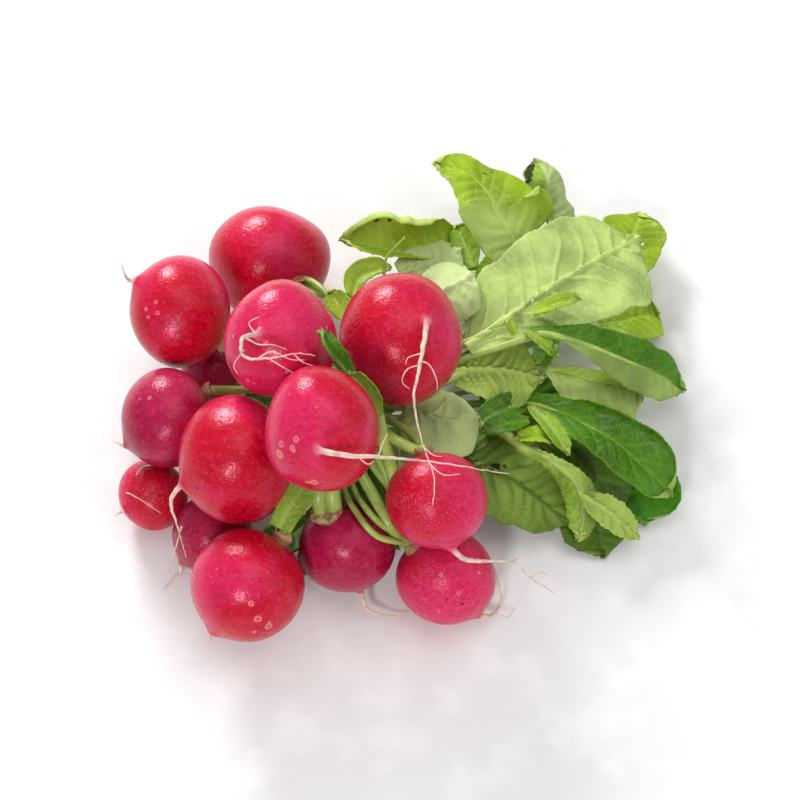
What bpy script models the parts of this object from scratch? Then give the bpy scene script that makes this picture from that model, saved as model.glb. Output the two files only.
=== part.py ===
"""A bunch of fourteen red radishes, lying on a table with its leaves to the right.

Every radish is one solid: its globe and its tap root. Every leaf is one solid: its stalk
and its blade. A rubber band holds the stalks together. Lengths are in millimetres in the
tables and are turned into metres when a mesh is made.
"""

import math

import bmesh
import bpy
import numpy as np

MM = 0.001
CENTRE_OFFSET = np.array([-3.1, -9.0, 0.0])  # puts the bunch's footprint centre on the origin

# Rubber band, round the stalks, with its hole along X.
BAND_CENTRE = np.array([-12.0, 5.0, 14.0])
BAND_INNER = 11.0
BAND_WALL = 1.3
BAND_WIDTH = 6.0

# Radish shape, as shares of the globe's radius.
CROWN_REACH = 0.93
SHOULDER = 2.3
ROOT_NECK = 0.17
ROOT_TIP_RADIUS = 0.35
GLOBE_SIDES = 12
GLOBE_RINGS = 9

# Leaf shape.
STALK_RADIUS = 1.15
STALK_GAP = 0.5
BLADE_THICKNESS = 0.8
BLADE_RINGS = 8
STALK_STEP = 6.5
LEAF_SECTION = ((-1.0, 0), (-0.5, 1), (0.0, 1), (0.5, 1), (1.0, 0), (0.5, -1), (0.0, -1), (-0.5, -1))

# name: globe centre, globe radius, way the tap root points, then the root's further points.
RADISHES = {
    "radish_01": ((-43, 56.6, 18.5), 19.0, (-0.50, 0.70, -0.30), [(-53, 78.5, 6), (-47, 81, 2.2)]),
    "radish_02": ((-68.6, 24.4, 37.0), 16.4, (-0.80, 0.30, 0.52), [(-84.5, 30, 48), (-86, 32.5, 53)]),
    "radish_03": ((-34.8, -1.4, 62.8), 16.8, (-0.30, -0.42, 0.86),
                  [(-44.5, -13, 82), (-44, -18, 80.5), (-37, -18.5, 80.5), (-29, -16.5, 80),
                   (-24, -15.6, 77)]),
    "radish_04": ((0, 8.2, 48.2), 19.0, (0.40, -0.25, 0.88),
                  [(5.5, -14, 67), (4, -22, 64.5), (6, -33.5, 61), (9.6, -45, 60), (9.3, -55, 60.5)]),
    "radish_05": ((-71, -9.8, 31.5), 14.4, (-0.86, -0.48, -0.20), [(-88.3, -16.5, 28.5)]),
    "radish_06": ((-47.9, -30.4, 42.6), 18.0, (-0.87, -0.48, 0.11),
                  [(-67.3, -43.5, 40.5), (-65.5, -49, 34.5), (-63.4, -55.3, 27)]),
    "radish_07": ((-22.4, -35.2, 69), 16.8, (-0.03, -0.70, 0.71),
                  [(-15.6, -50.5, 82.5), (-5, -48.5, 77.5), (10, -45, 68), (31, -45.6, 62)]),
    "radish_08": ((11, -43.3, 42.3), 14.8, (0.25, -0.93, -0.24),
                  [(20, -60.5, 36.5), (33, -59, 32), (38.5, -62, 27.5), (46, -64.5, 22)]),
    "radish_09": ((-44.5, -64.3, 28.5), 16.9, (-0.58, -0.74, -0.34), [(-56.8, -80.4, 20)]),
    "radish_10": ((-15.9, -47.4, 20), 14.7, (0.24, -0.68, -0.69),
                  [(-9.5, -62.5, 5), (-2, -63.5, 3), (2, -63.3, 2.5)]),
    "radish_11": ((13.9, -55.4, 14.5), 15.0, (0.60, -0.60, -0.53),
                  [(28.4, -63.5, 4), (31, -58, 4.5), (29, -50.5, 9)]),
    "radish_12": ((-76.8, -25.6, 10.5), 10.8, (-0.75, -0.60, 0.25), [(-88.2, -35, 13.5)]),
    "radish_13": ((-57.4, -40.2, 12.3), 12.6, (-0.75, -0.55, -0.40), [(-68, -50, 4), (-73, -54, 1.5)]),
    "radish_14": ((-60, 18, 10.7), 10.6, (-0.80, 0.55, -0.20), [(-71, 24.5, 6)]),
}

# How much wider along +X, and longer along LONG_WAY, each oval globe is than a round one.
LONG_WAY = np.array([0.0, 0.866, 0.5])
OVALS = {
    "radish_01": (1.07, 0.96), "radish_02": (0.98, 1.09), "radish_03": (1.0, 1.04),
    "radish_04": (0.99, 1.08), "radish_05": (1.0, 1.08), "radish_06": (0.96, 1.06),
    "radish_07": (0.95, 1.10), "radish_08": (1.03, 0.97), "radish_10": (1.0, 0.98),
    "radish_11": (1.03, 0.98),
}

# name: its radish, blade base, blade tip, half width, arch along it, roll about it in
# degrees (0 shows the upper face, 180 the underside), fold of its halves, and whether its
# stalk goes through the band.
LEAVES = {
    "leaf_01": ("radish_02", (28, 57, 24), (-20, 52, 35), 11.0, 5.0, -15, 0.15, True),
    "leaf_02": ("radish_02", (40, 56, 21), (12, 88, 31), 15.0, 6.0, -10, 0.10, True),
    "leaf_03": ("radish_01", (60, 62, 17), (48, 99.5, 18), 9.0, 4.0, 150, 0.25, True),
    "leaf_04": ("radish_03", (22, 23, 27), (82, 62, 25), 19.0, 5.0, 180, 0.05, True),
    "leaf_05": ("radish_01", (57, 54, 6), (89, 83, 9), 13.0, 3.0, 0, 0.05, True),
    "leaf_06": ("radish_14", (60, 38, 7), (88, 45, 3), 11.0, 4.0, 0, 0.05, True),
    "leaf_07": ("radish_04", (47, 18.5, 36), (94.5, 13, 10), 10.0, 6.0, 10, -0.15, True),
    "leaf_08": ("radish_05", (18, 7.5, 19), (50, 12, 18), 11.5, 3.0, 170, 0.05, True),
    "leaf_09": ("radish_06", (50, 16, 13), (80, 5, 11), 9.0, 4.0, 20, 0.20, True),
    "leaf_10": ("radish_06", (42, 3, 17), (86, -28, 12), 10.0, 6.0, 10, 0.20, True),
    "leaf_11": ("radish_10", (60, 6, 8), (88, -34, 4), 11.0, 4.0, 0, 0.05, True),
    "leaf_12": ("radish_09", (22, -8, 14), (62, -33, 6), 14.0, 3.0, 175, 0.0, True),
    "leaf_13": ("radish_08", (38, -11, 22), (64, -43, 9), 10.5, 4.0, 0, 0.15, True),
    "leaf_14": ("radish_11", (48, -3, 7.5), (78, -38, 2.0), 9.0, 1.5, 0, 0.05, True),
    "leaf_15": ("radish_04", (4, 24, 31), (23, 43, 34), 10.5, 2.0, 180, 0.0, True),
    "leaf_16": ("radish_03", (-1, 30, 26), (15, 54, 27), 10.0, 2.0, 180, 0.0, True),
    "leaf_17": ("radish_07", (4, 2, 27), (25, -12, 24), 11.0, 2.0, 180, 0.0, True),
    "leaf_18": ("radish_12", (18, -4, 3.0), (60, -12, 1.5), 11.0, 1.0, 0, 0.0, True),
    "leaf_19": ("radish_13", (25, 12, 3.5), (75, 20, 1.5), 12.0, 2.0, 0, 0.0, True),
    "leaf_20": ("radish_01", (20, 40, 5), (60, 76, 2), 12.0, 2.0, 0, 0.0, True),
    "leaf_21": ("radish_01", (-17, 27, 33), (-23, 40, 33), 5.0, 2.0, 0, 0.10, False),
    "leaf_22": ("radish_01", (-8, 34, 27), (-13, 48, 28), 6.0, 2.0, 0, 0.10, False),
    "leaf_23": ("radish_07", (-17, -12.5, 68), (-23, -7, 79), 4.0, 1.0, 0, 0.20, False),
    "leaf_24": ("radish_07", (-6.5, -16, 62), (-13.5, -12.5, 71.5), 3.5, 1.0, 20, 0.20, False),
}

# name: colour, roughness
FINISHES = {
    "radish": ((0.60, 0.02, 0.07), 0.38),
    "leaf": ((0.23, 0.42, 0.06), 0.55),
    "band": ((0.55, 0.36, 0.16), 0.60),
}


def unit(v):
    v = np.asarray(v, float)
    return v / np.linalg.norm(v)


def hermite(a, a_way, b, b_way, count):
    """Points of a cubic from a, leaving along a_way, to b, arriving along b_way."""
    t = np.linspace(0.0, 1.0, count)[:, None]
    return ((2 * t**3 - 3 * t**2 + 1) * a + (t**3 - 2 * t**2 + t) * a_way
            + (3 * t**2 - 2 * t**3) * b + (t**3 - t**2) * b_way)


def smooth_path(points, count):
    """Points of an even curve through the given ones."""
    points = np.asarray(points, float)
    ways = np.gradient(points, axis=0)
    pieces = [hermite(points[i], ways[i], points[i + 1], ways[i + 1], 12)[:-1]
              for i in range(len(points) - 1)]
    return resample(np.vstack(pieces + [points[-1:]]), count)


def resample(path, count):
    """The same line with its points the same distance apart."""
    along = np.concatenate([[0.0], np.cumsum(np.linalg.norm(np.diff(path, axis=0), axis=1))])
    wanted = np.linspace(0.0, along[-1], count)
    return np.column_stack([np.interp(wanted, along, path[:, k]) for k in range(3)])


def carried_frames(path, first_side):
    """A side direction at each point, carried along the path without twisting."""
    ways = np.array([unit(w) for w in np.gradient(path, axis=0)])
    sides = []
    side = np.asarray(first_side, float)
    for way in ways:
        side = unit(side - way * (side @ way))
        sides.append(side)
    return ways, np.array(sides)


def solid_from_rings(name, rings, first_pole, last_pole, finish):
    """A closed mesh object lofted through rings of equal size, ending in a point at each end."""
    sides = len(rings[0])
    points = np.vstack([*rings, [first_pole, last_pole]]) + CENTRE_OFFSET
    start = len(rings) * sides
    faces = []
    for i in range(len(rings) - 1):
        for k in range(sides):
            n = (k + 1) % sides
            a, b = i * sides + k, i * sides + n
            faces += [(a, b, b + sides), (a, b + sides, a + sides)]
    last = (len(rings) - 1) * sides
    for k in range(sides):
        n = (k + 1) % sides
        faces += [(start, n, k), (start + 1, last + k, last + n)]
    mesh = bpy.data.meshes.new(name)
    mesh.from_pydata((points * MM).tolist(), [], faces)
    stand_flat(mesh)
    mesh.shade_smooth()
    mesh.materials.append(finish)
    node = bpy.data.objects.new(name, mesh)
    bunch.objects.link(node)
    return node


def stand_flat(mesh):
    """Cuts off whatever is below the table and closes the cut with a flat face."""
    shape = bmesh.new()
    shape.from_mesh(mesh)
    if min(v.co.z for v in shape.verts) < 0:
        every = [*shape.verts, *shape.edges, *shape.faces]
        cut = bmesh.ops.bisect_plane(shape, geom=every, dist=1e-7, plane_co=(0, 0, 0), plane_no=(0, 0, -1),
                                     clear_outer=True)
        rim = [e for e in cut["geom_cut"] if isinstance(e, bmesh.types.BMEdge)]
        bmesh.ops.contextual_create(shape, geom=rim)
        bmesh.ops.recalc_face_normals(shape, faces=shape.faces)
    shape.to_mesh(mesh)
    shape.free()


def ring_round(centre, way, side, radius, sides):
    """A circle of points round way, turning anticlockwise seen from its end."""
    other = np.cross(way, side)
    turn = np.arange(sides) * 2 * math.pi / sides
    return centre + radius * (np.cos(turn)[:, None] * side + np.sin(turn)[:, None] * other)


def make_radish(name, centre, radius, root_way, root_points, finish):
    """Globe and tap root in one: rings along the axis, then rings along the bending root."""
    centre = np.asarray(centre, float)
    way = unit(root_way)
    side = unit(np.cross(way, (0.31, 0.2, 0.93)))
    oval = OVALS.get(name, (1, 1))
    rings = []
    for share in np.linspace(-1.0, 1.0, GLOBE_RINGS + 2)[1:-1]:
        angle = share * math.pi / 2
        reach = math.sin(angle)
        across = math.cos(angle) ** (2 / SHOULDER)
        along = reach * (CROWN_REACH if share < 0 else 1.0)
        ring = ring_round(way * radius * along, way, side, radius * max(across, ROOT_NECK), GLOBE_SIDES)
        rings.append(centre + drawn_out(ring, oval))
    base = centre + drawn_out(way * radius * 1.06, oval)
    root = smooth_path([base, *root_points], 3 + 2 * len(root_points))
    ways, sides = carried_frames(root, side)
    ways[0] = way
    for i, point in enumerate(root[:-1]):
        share = i / (len(root) - 1)
        thick = ROOT_TIP_RADIUS + (radius * ROOT_NECK * 0.55 - ROOT_TIP_RADIUS) * (1 - share) ** 2
        rings.append(ring_round(point, ways[i], sides[i], thick, GLOBE_SIDES))
    crown = centre - drawn_out(way * radius * CROWN_REACH, oval)
    return solid_from_rings(name, rings, crown, root[-1], finish)


def drawn_out(off, oval):
    """Widens an offset from a globe's centre by the globe's two shares."""
    off = np.asarray(off, float)
    along = (off @ LONG_WAY)[..., None]
    return off + (oval[0] - 1) * off[..., :1] * (1.0, 0.0, 0.0) + (oval[1] - 1) * along * LONG_WAY


def stalk_start(radish, number, count):
    """Where a leaf leaves its radish's crown, and the way it leaves."""
    centre, radius, root_way, _ = RADISHES[radish]
    way = -unit(root_way)
    side = unit(np.cross(way, (0.31, 0.2, 0.93)))
    turn = 2 * math.pi * number / max(count, 1) + 0.6
    spread = 0.0 if count == 1 else 1.6 / math.sin(math.pi / count)
    off = spread * (math.cos(turn) * side + math.sin(turn) * np.cross(way, side))
    crown = drawn_out(way * radius * CROWN_REACH, OVALS.get(radish, (1, 1)))
    return np.asarray(centre, float) + crown + way * 1.3 + off, way


def band_places():
    """Gives each tied stalk its own place in the band: one in the middle and two rings round it."""
    places = [(0.0, 0.0)]
    for reach, number in ((4.6, 8), (8.6, 12)):
        places += [(reach * math.cos(2 * math.pi * k / number), reach * math.sin(2 * math.pi * k / number))
                   for k in range(number)]
    wishes = {}
    for name, (radish, base, *_, tied) in LEAVES.items():
        if tied:
            start, way = stalk_start(radish, 0, 1)
            wish = 0.6 * (start + way * 8) + 0.4 * np.asarray(base, float) - BAND_CENTRE
            wishes[name] = wish[1:] * min(1.0, BAND_INNER / np.linalg.norm(wish[1:]))
    taken = {}
    costs = sorted((float(np.sum((wish - place) ** 2)), name, k)
                   for name, wish in wishes.items() for k, place in enumerate(places))
    for _, name, k in costs:
        if name not in taken and k not in taken.values():
            taken[name] = k
    return {name: BAND_CENTRE + (0.0, *places[k]) for name, k in taken.items()}


def first_stalks(places):
    """Each stalk's line before the stalks push each other aside."""
    of_radish = {}
    for name, row in LEAVES.items():
        of_radish.setdefault(row[0], []).append(name)
    stalks = {}
    for name, (radish, base, tip, *_, tied) in LEAVES.items():
        mates = of_radish[radish]
        start, way = stalk_start(radish, mates.index(name), len(mates))
        base, tip = np.asarray(base, float), np.asarray(tip, float)
        into_blade = unit(tip - base)
        if tied:
            gate = places[name]
            near = np.linalg.norm(gate - start)
            far = np.linalg.norm(base - gate)
            first = hermite(start, way * near * 0.9, gate, np.array([near * 0.9, 0, 0]), 30)
            second = hermite(gate, np.array([far * 0.9, 0, 0]), base, into_blade * far * 0.9, 24)
            stalks[name] = resample(np.vstack([first[:-1], second]), 56)
        else:
            far = np.linalg.norm(base - start)
            stalks[name] = resample(hermite(start, way * far, base, into_blade * far, 20), 20)
    return stalks


def push_apart(stalks, places, rounds=1000):
    """Lets the stalks slide past each other, the globes, the band and the table."""
    names = list(stalks)
    points = np.vstack([stalks[n] for n in names])
    owner = np.concatenate([[i] * len(stalks[n]) for i, n in enumerate(names)])
    held = (np.diff(owner, prepend=-1) != 0) | (np.diff(owner, append=-1) != 0)
    tied = np.array([LEAVES[n][-1] for n in names])[owner]
    home = np.array([places.get(n, BAND_CENTRE) for n in names])[owner]
    apart = 2 * STALK_RADIUS + STALK_GAP + 0.75
    for turn in range(rounds):
        if turn % 25 == 0:
            gap = np.linalg.norm(points[:, None] - points[None], axis=2)
            one, two = np.nonzero((owner[:, None] < owner[None]) & (gap < apart + 4))
        gap = points[one] - points[two]
        far = np.linalg.norm(gap, axis=1) + 1e-6
        push = gap * (0.3 * np.maximum(apart - far, 0.0) / far)[:, None]
        step = np.zeros_like(points)
        np.add.at(step, one, push)
        np.add.at(step, two, -push)
        for name, (centre, radius, *_) in RADISHES.items():
            wide, long = OVALS.get(name, (1, 1))
            off = drawn_out(points - np.array(centre, float), (1 / wide, 1 / long))
            away = np.linalg.norm(off, axis=1)
            short = np.maximum(radius + STALK_RADIUS + 1.0 - away, 0.0)
            step += off / away[:, None] * short[:, None] * 0.7
        inner = ~held
        smooth = np.zeros_like(points)
        smooth[inner] = (np.roll(points, 1, 0) + np.roll(points, -1, 0))[inner] / 2 - points[inner]
        points = points + np.where(held[:, None], 0.0, step + 0.3 * smooth)
        points[:, 2] = np.maximum(points[:, 2], STALK_RADIUS + 0.3)
        in_band = tied & (np.abs(points[:, 0] - BAND_CENTRE[0]) < BAND_WIDTH / 2 + 1)
        points[in_band, 1:] += 0.3 * (home - points)[in_band, 1:]
        by_band = tied & (np.abs(points[:, 0] - BAND_CENTRE[0]) < BAND_WIDTH / 2 + 5)
        off = points[by_band] - BAND_CENTRE
        off[:, 0] = 0.0
        away = np.linalg.norm(off, axis=1) + 1e-6
        room = BAND_INNER - STALK_RADIUS - 0.5
        points[by_band] -= off * np.maximum(1 - room / away, 0.0)[:, None]
    return {n: points[owner == i] for i, n in enumerate(names)}


def blade_half_width(share, half_width):
    """Half width of a blade, 0 at its base and 1 at its tip: widest past the middle."""
    return half_width * math.sin(math.pi * share**0.85) ** 0.75


def make_leaf(name, stalk, row, finish):
    """Stalk and blade in one: a round section that flattens into the blade's."""
    _, base, tip, half_width, arch, roll, fold, _ = row
    base, tip = np.asarray(base, float), np.asarray(tip, float)
    stalk = resample(stalk, max(5, round(np.linalg.norm(np.diff(stalk, axis=0), axis=1).sum() / STALK_STEP)))
    chord = unit(tip - base)
    flat = unit(np.cross(chord, (0.0, 0.0, 1.0)))
    upper = np.cross(flat, chord)
    turn = math.radians(roll)
    side = flat * math.cos(turn) + upper * math.sin(turn)
    shares = np.linspace(0.0, 1.0, BLADE_RINGS + 1)
    lift = np.array([0.0, 0.0, 1.0])
    blade = base + np.outer(shares, tip - base) + np.outer(4 * shares * (1 - shares) * arch, lift)
    ways, sides = carried_frames(blade, side)
    back_ways, back_sides = carried_frames(stalk[::-1], sides[0])
    rings = []
    for point, way, across in zip(stalk[:-1], -back_ways[::-1], back_sides[::-1]):
        normal = np.cross(across, way)
        rings.append([point + STALK_RADIUS * (across * math.cos(a) + normal * math.sin(a))
                      for a in -np.arange(8) * math.pi / 4 + math.pi])
    for share, point, way, across in zip(shares[:-1], blade, ways, sides):
        normal = np.cross(across, way)
        half = max(STALK_RADIUS, blade_half_width(share, half_width))
        thick = BLADE_THICKNESS / 2 + (STALK_RADIUS - BLADE_THICKNESS / 2) * (1 - share) ** 4
        rings.append([point + across * q * half + normal * (fold * abs(q) * half + face * thick)
                      for q, face in LEAF_SECTION])
    first_pole = stalk[0] - (stalk[1] - stalk[0]) * 0.02
    return solid_from_rings(name, [np.array(r) for r in rings], first_pole, blade[-1], finish)


def make_band(finish):
    """A flat rubber ring: a rounded oblong profile turned round X."""
    profile = bpy.data.meshes.new("stalk_band")
    half, inner, outer = BAND_WIDTH / 2, BAND_INNER, BAND_INNER + BAND_WALL
    round_off = 0.35
    corners = [(-half, inner + round_off), (-half, outer - round_off), (-half + round_off, outer),
               (half - round_off, outer), (half, outer - round_off), (half, inner + round_off),
               (half - round_off, inner), (-half + round_off, inner)]
    edges = [(i, (i + 1) % len(corners)) for i in range(len(corners))]
    profile.from_pydata([(x * MM, y * MM, 0.0) for x, y in corners], edges, [])
    profile.materials.append(finish)
    band = bpy.data.objects.new("stalk_band", profile)
    bunch.objects.link(band)
    band.location = (BAND_CENTRE + CENTRE_OFFSET) * MM
    screw = band.modifiers.new("turn", "SCREW")
    screw.axis = "X"
    screw.steps = screw.render_steps = 28
    screw.use_merge_vertices = True
    screw.merge_threshold = 1e-5
    screw.use_normal_flip = True
    return band


def make_finish(name):
    colour, roughness = FINISHES[name]
    finish = bpy.data.materials.new(name)
    finish.use_nodes = True
    shader = finish.node_tree.nodes["Principled BSDF"]
    shader.inputs["Base Color"].default_value = (*colour, 1.0)
    shader.inputs["Roughness"].default_value = roughness
    shader.inputs["Metallic"].default_value = 0.0
    return finish


for left_over in list(bpy.data.objects):
    bpy.data.objects.remove(left_over)
bunch = bpy.data.collections.new("bunch_of_radishes")
bpy.context.scene.collection.children.link(bunch)
skins = {name: make_finish(name) for name in FINISHES}
for radish_name, radish_row in RADISHES.items():
    make_radish(radish_name, *radish_row, skins["radish"])
stalk_places = band_places()
for leaf_name, leaf_stalk in push_apart(first_stalks(stalk_places), stalk_places).items():
    make_leaf(leaf_name, leaf_stalk, LEAVES[leaf_name], skins["leaf"])
make_band(skins["band"])
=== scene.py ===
"""A tied bunch of red radishes with its leaves on, lying on a pale table."""

import math

import bmesh
import bpy
import numpy as np
from bpy.props import FloatProperty, FloatVectorProperty, IntProperty, PointerProperty
from bpy.types import Operator, Panel, PropertyGroup
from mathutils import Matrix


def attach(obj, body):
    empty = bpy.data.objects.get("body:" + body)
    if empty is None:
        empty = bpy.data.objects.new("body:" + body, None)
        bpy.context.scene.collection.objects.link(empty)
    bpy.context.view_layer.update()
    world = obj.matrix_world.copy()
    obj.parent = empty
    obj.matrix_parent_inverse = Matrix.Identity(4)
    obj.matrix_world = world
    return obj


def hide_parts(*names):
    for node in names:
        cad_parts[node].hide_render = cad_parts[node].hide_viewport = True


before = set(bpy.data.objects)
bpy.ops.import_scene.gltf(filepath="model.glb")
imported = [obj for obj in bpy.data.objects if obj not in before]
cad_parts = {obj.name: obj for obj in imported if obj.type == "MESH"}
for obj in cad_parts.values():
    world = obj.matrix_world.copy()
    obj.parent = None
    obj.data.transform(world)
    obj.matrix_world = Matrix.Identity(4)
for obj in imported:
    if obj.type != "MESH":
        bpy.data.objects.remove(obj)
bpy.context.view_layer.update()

bl_info = {
    "name": "Radish Bunch",
    "version": (1, 0, 0),
    "blender": (4, 5, 0),
    "location": "View3D > Sidebar > Radishes",
    "description": "Grows a bunch of radishes with roots, stalks and leaves",
    "category": "Add Mesh",
}

MM = 0.001
BUNCH_SHIFT = np.array([-3.1, -9.0, 0.0])  # from the layout's millimetres to the frame's

BAND_CENTRE = np.array([-12.0, 5.0, 14.0])
BAND_INNER = 11.0
BAND_WIDTH = 6.0
STALK_RADIUS = 1.15
STALK_GAP = 0.5
CROWN_REACH = 0.93
SIDE_HINT = (0.31, 0.2, 0.93)  # a way that no root points along
BAND_RINGS = ((4.6, 8), (8.6, 12))  # radius of each ring of stalks in the band, and its stalks
THINNEST = 0.16  # thickness between a blade's veins, as a share of its thickest
BLADE_LOWEST = 0.9
ROOT_LOWEST = 0.15
HAIR_RADII = (0.26, 0.10)
VEINS, SEED_VEINS = 9, 5
PLUM_SHARES = (0.62, 1.5, 1.9)
PLUM_ROSE_SHARE = 0.66

# A crown's cup, ring by ring: its height and its radius, in cups.
CUP_SHARE = 0.055
CUP_RINGS = ((0.3, 2.7), (1.2, 3.1), (2.4, 3.5), (3.2, 3.7), (3.0, 3.3), (1.9, 2.7), (1.6, 1.5))

# name: place in metres, size and power of each studio light.
LIGHTS = {
    "window": ((-0.30, 0.62, 0.42), 0.24, 5.2),
    "lamp": ((-0.15, -0.57, 0.46), 0.13, 1.9),
    "overhead": ((0.10, 0.05, 0.80), 0.60, 1.6),
    "fill": ((0.65, -0.20, 0.45), 0.60, 0.7),
}

# name: globe centre, globe radius, way the tap root points, the root's further points,
# and its skin: "red", "plum" or "frosted".
RADISHES = {
    "radish_01": ((-43, 56.6, 18.5), 19.0, (-0.50, 0.70, -0.30), [(-53, 78.5, 6), (-47, 81, 2.2)], "red"),
    "radish_02": ((-68.6, 24.4, 37.0), 16.4, (-0.80, 0.30, 0.52), [(-84.5, 30, 48), (-86, 32.5, 53)], "red"),
    "radish_03": ((-34.8, -1.4, 62.8), 16.8, (-0.30, -0.42, 0.86),
                  [(-44.5, -13, 82), (-44, -18, 80.5), (-37, -18.5, 80.5), (-29, -16.5, 80),
                   (-24, -15.6, 77)], "red"),
    "radish_04": ((0, 8.2, 48.2), 19.0, (0.40, -0.25, 0.88),
                  [(5.5, -14, 67), (4, -22, 64.5), (6, -33.5, 61), (9.6, -45, 60), (9.3, -55, 60.5)], "red"),
    "radish_05": ((-71, -9.8, 31.5), 14.4, (-0.86, -0.48, -0.20), [(-88.3, -16.5, 28.5)], "plum"),
    "radish_06": ((-47.9, -30.4, 42.6), 18.0, (-0.87, -0.48, 0.11),
                  [(-67.3, -43.5, 40.5), (-65.5, -49, 34.5), (-63.4, -55.3, 27)], "red"),
    "radish_07": ((-22.4, -35.2, 69), 16.8, (-0.03, -0.70, 0.71),
                  [(-15.6, -50.5, 82.5), (-5, -48.5, 77.5), (10, -45, 68), (31, -45.6, 62)], "red"),
    "radish_08": ((11, -43.3, 42.3), 14.8, (0.25, -0.93, -0.24),
                  [(20, -60.5, 36.5), (33, -59, 32), (38.5, -62, 27.5), (46, -64.5, 22)], "frosted"),
    "radish_09": ((-44.5, -64.3, 28.5), 16.9, (-0.58, -0.74, -0.34), [(-56.8, -80.4, 20)], "red"),
    "radish_10": ((-15.9, -47.4, 20), 14.7, (0.24, -0.68, -0.69),
                  [(-9.5, -62.5, 5), (-2, -63.5, 3), (2, -63.3, 2.5)], "plum"),
    "radish_11": ((13.9, -55.4, 14.5), 15.0, (0.60, -0.60, -0.53),
                  [(28.4, -63.5, 4), (31, -58, 4.5), (29, -50.5, 9)],
                  "frosted"),
    "radish_12": ((-76.8, -25.6, 10.5), 10.8, (-0.75, -0.60, 0.25), [(-88.2, -35, 13.5)], "frosted"),
    "radish_13": ((-57.4, -40.2, 12.3), 12.6, (-0.75, -0.55, -0.40), [(-68, -50, 4), (-73, -54, 1.5)],
                  "plum"),
    "radish_14": ((-60, 18, 10.7), 10.6, (-0.80, 0.55, -0.20), [(-71, 24.5, 6)], "plum"),
}

# How much wider along +X, and longer along LONG_WAY, each oval globe is than a round one.
LONG_WAY = np.array([0.0, 0.866, 0.5])
OVALS = {
    "radish_01": (1.07, 0.96), "radish_02": (0.98, 1.09), "radish_03": (1.0, 1.04),
         "radish_04": (0.99, 1.08),
    "radish_05": (1.0, 1.08), "radish_06": (0.96, 1.06), "radish_07": (0.95, 1.10),
         "radish_08": (1.03, 0.97),
    "radish_10": (1.0, 0.98), "radish_11": (1.03, 0.98),
}

# name: its radish, blade base, blade tip, and whether its stalk goes through the band.
LEAVES = {
    "leaf_01": ("radish_02", (28, 57, 24), (-20, 52, 35), True),
    "leaf_02": ("radish_02", (40, 56, 21), (12, 88, 31), True),
    "leaf_03": ("radish_01", (60, 62, 17), (48, 99.5, 18), True),
    "leaf_04": ("radish_03", (22, 23, 27), (82, 62, 25), True),
    "leaf_05": ("radish_01", (57, 54, 6), (89, 83, 9), True),
    "leaf_06": ("radish_14", (60, 38, 7), (88, 45, 3), True),
    "leaf_07": ("radish_04", (47, 18.5, 36), (94.5, 13, 10), True),
    "leaf_08": ("radish_05", (18, 7.5, 19), (50, 12, 18), True),
    "leaf_09": ("radish_06", (50, 16, 13), (80, 5, 11), True),
    "leaf_10": ("radish_06", (42, 3, 17), (86, -28, 12), True),
    "leaf_11": ("radish_10", (60, 6, 8), (88, -34, 4), True),
    "leaf_12": ("radish_09", (22, -8, 14), (62, -33, 6), True),
    "leaf_13": ("radish_08", (38, -11, 22), (64, -43, 9), True),
    "leaf_14": ("radish_11", (48, -3, 7.5), (78, -38, 2.0), True),
    "leaf_15": ("radish_04", (4, 24, 31), (23, 43, 34), True),
    "leaf_16": ("radish_03", (-1, 30, 26), (15, 54, 27), True),
    "leaf_17": ("radish_07", (4, 2, 27), (25, -12, 24), True),
    "leaf_18": ("radish_12", (18, -4, 3.0), (60, -12, 1.5), True),
    "leaf_19": ("radish_13", (25, 12, 3.5), (75, 20, 1.5), True),
    "leaf_20": ("radish_01", (20, 40, 5), (60, 76, 2), True),
    "leaf_21": ("radish_01", (-17, 27, 33), (-23, 40, 33), False),
    "leaf_22": ("radish_01", (-8, 34, 27), (-13, 48, 28), False),
    "leaf_23": ("radish_07", (-17, -12.5, 68), (-23, -7, 79), False),
    "leaf_24": ("radish_07", (-6.5, -16, 62), (-13.5, -12.5, 71.5), False),
}

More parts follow.
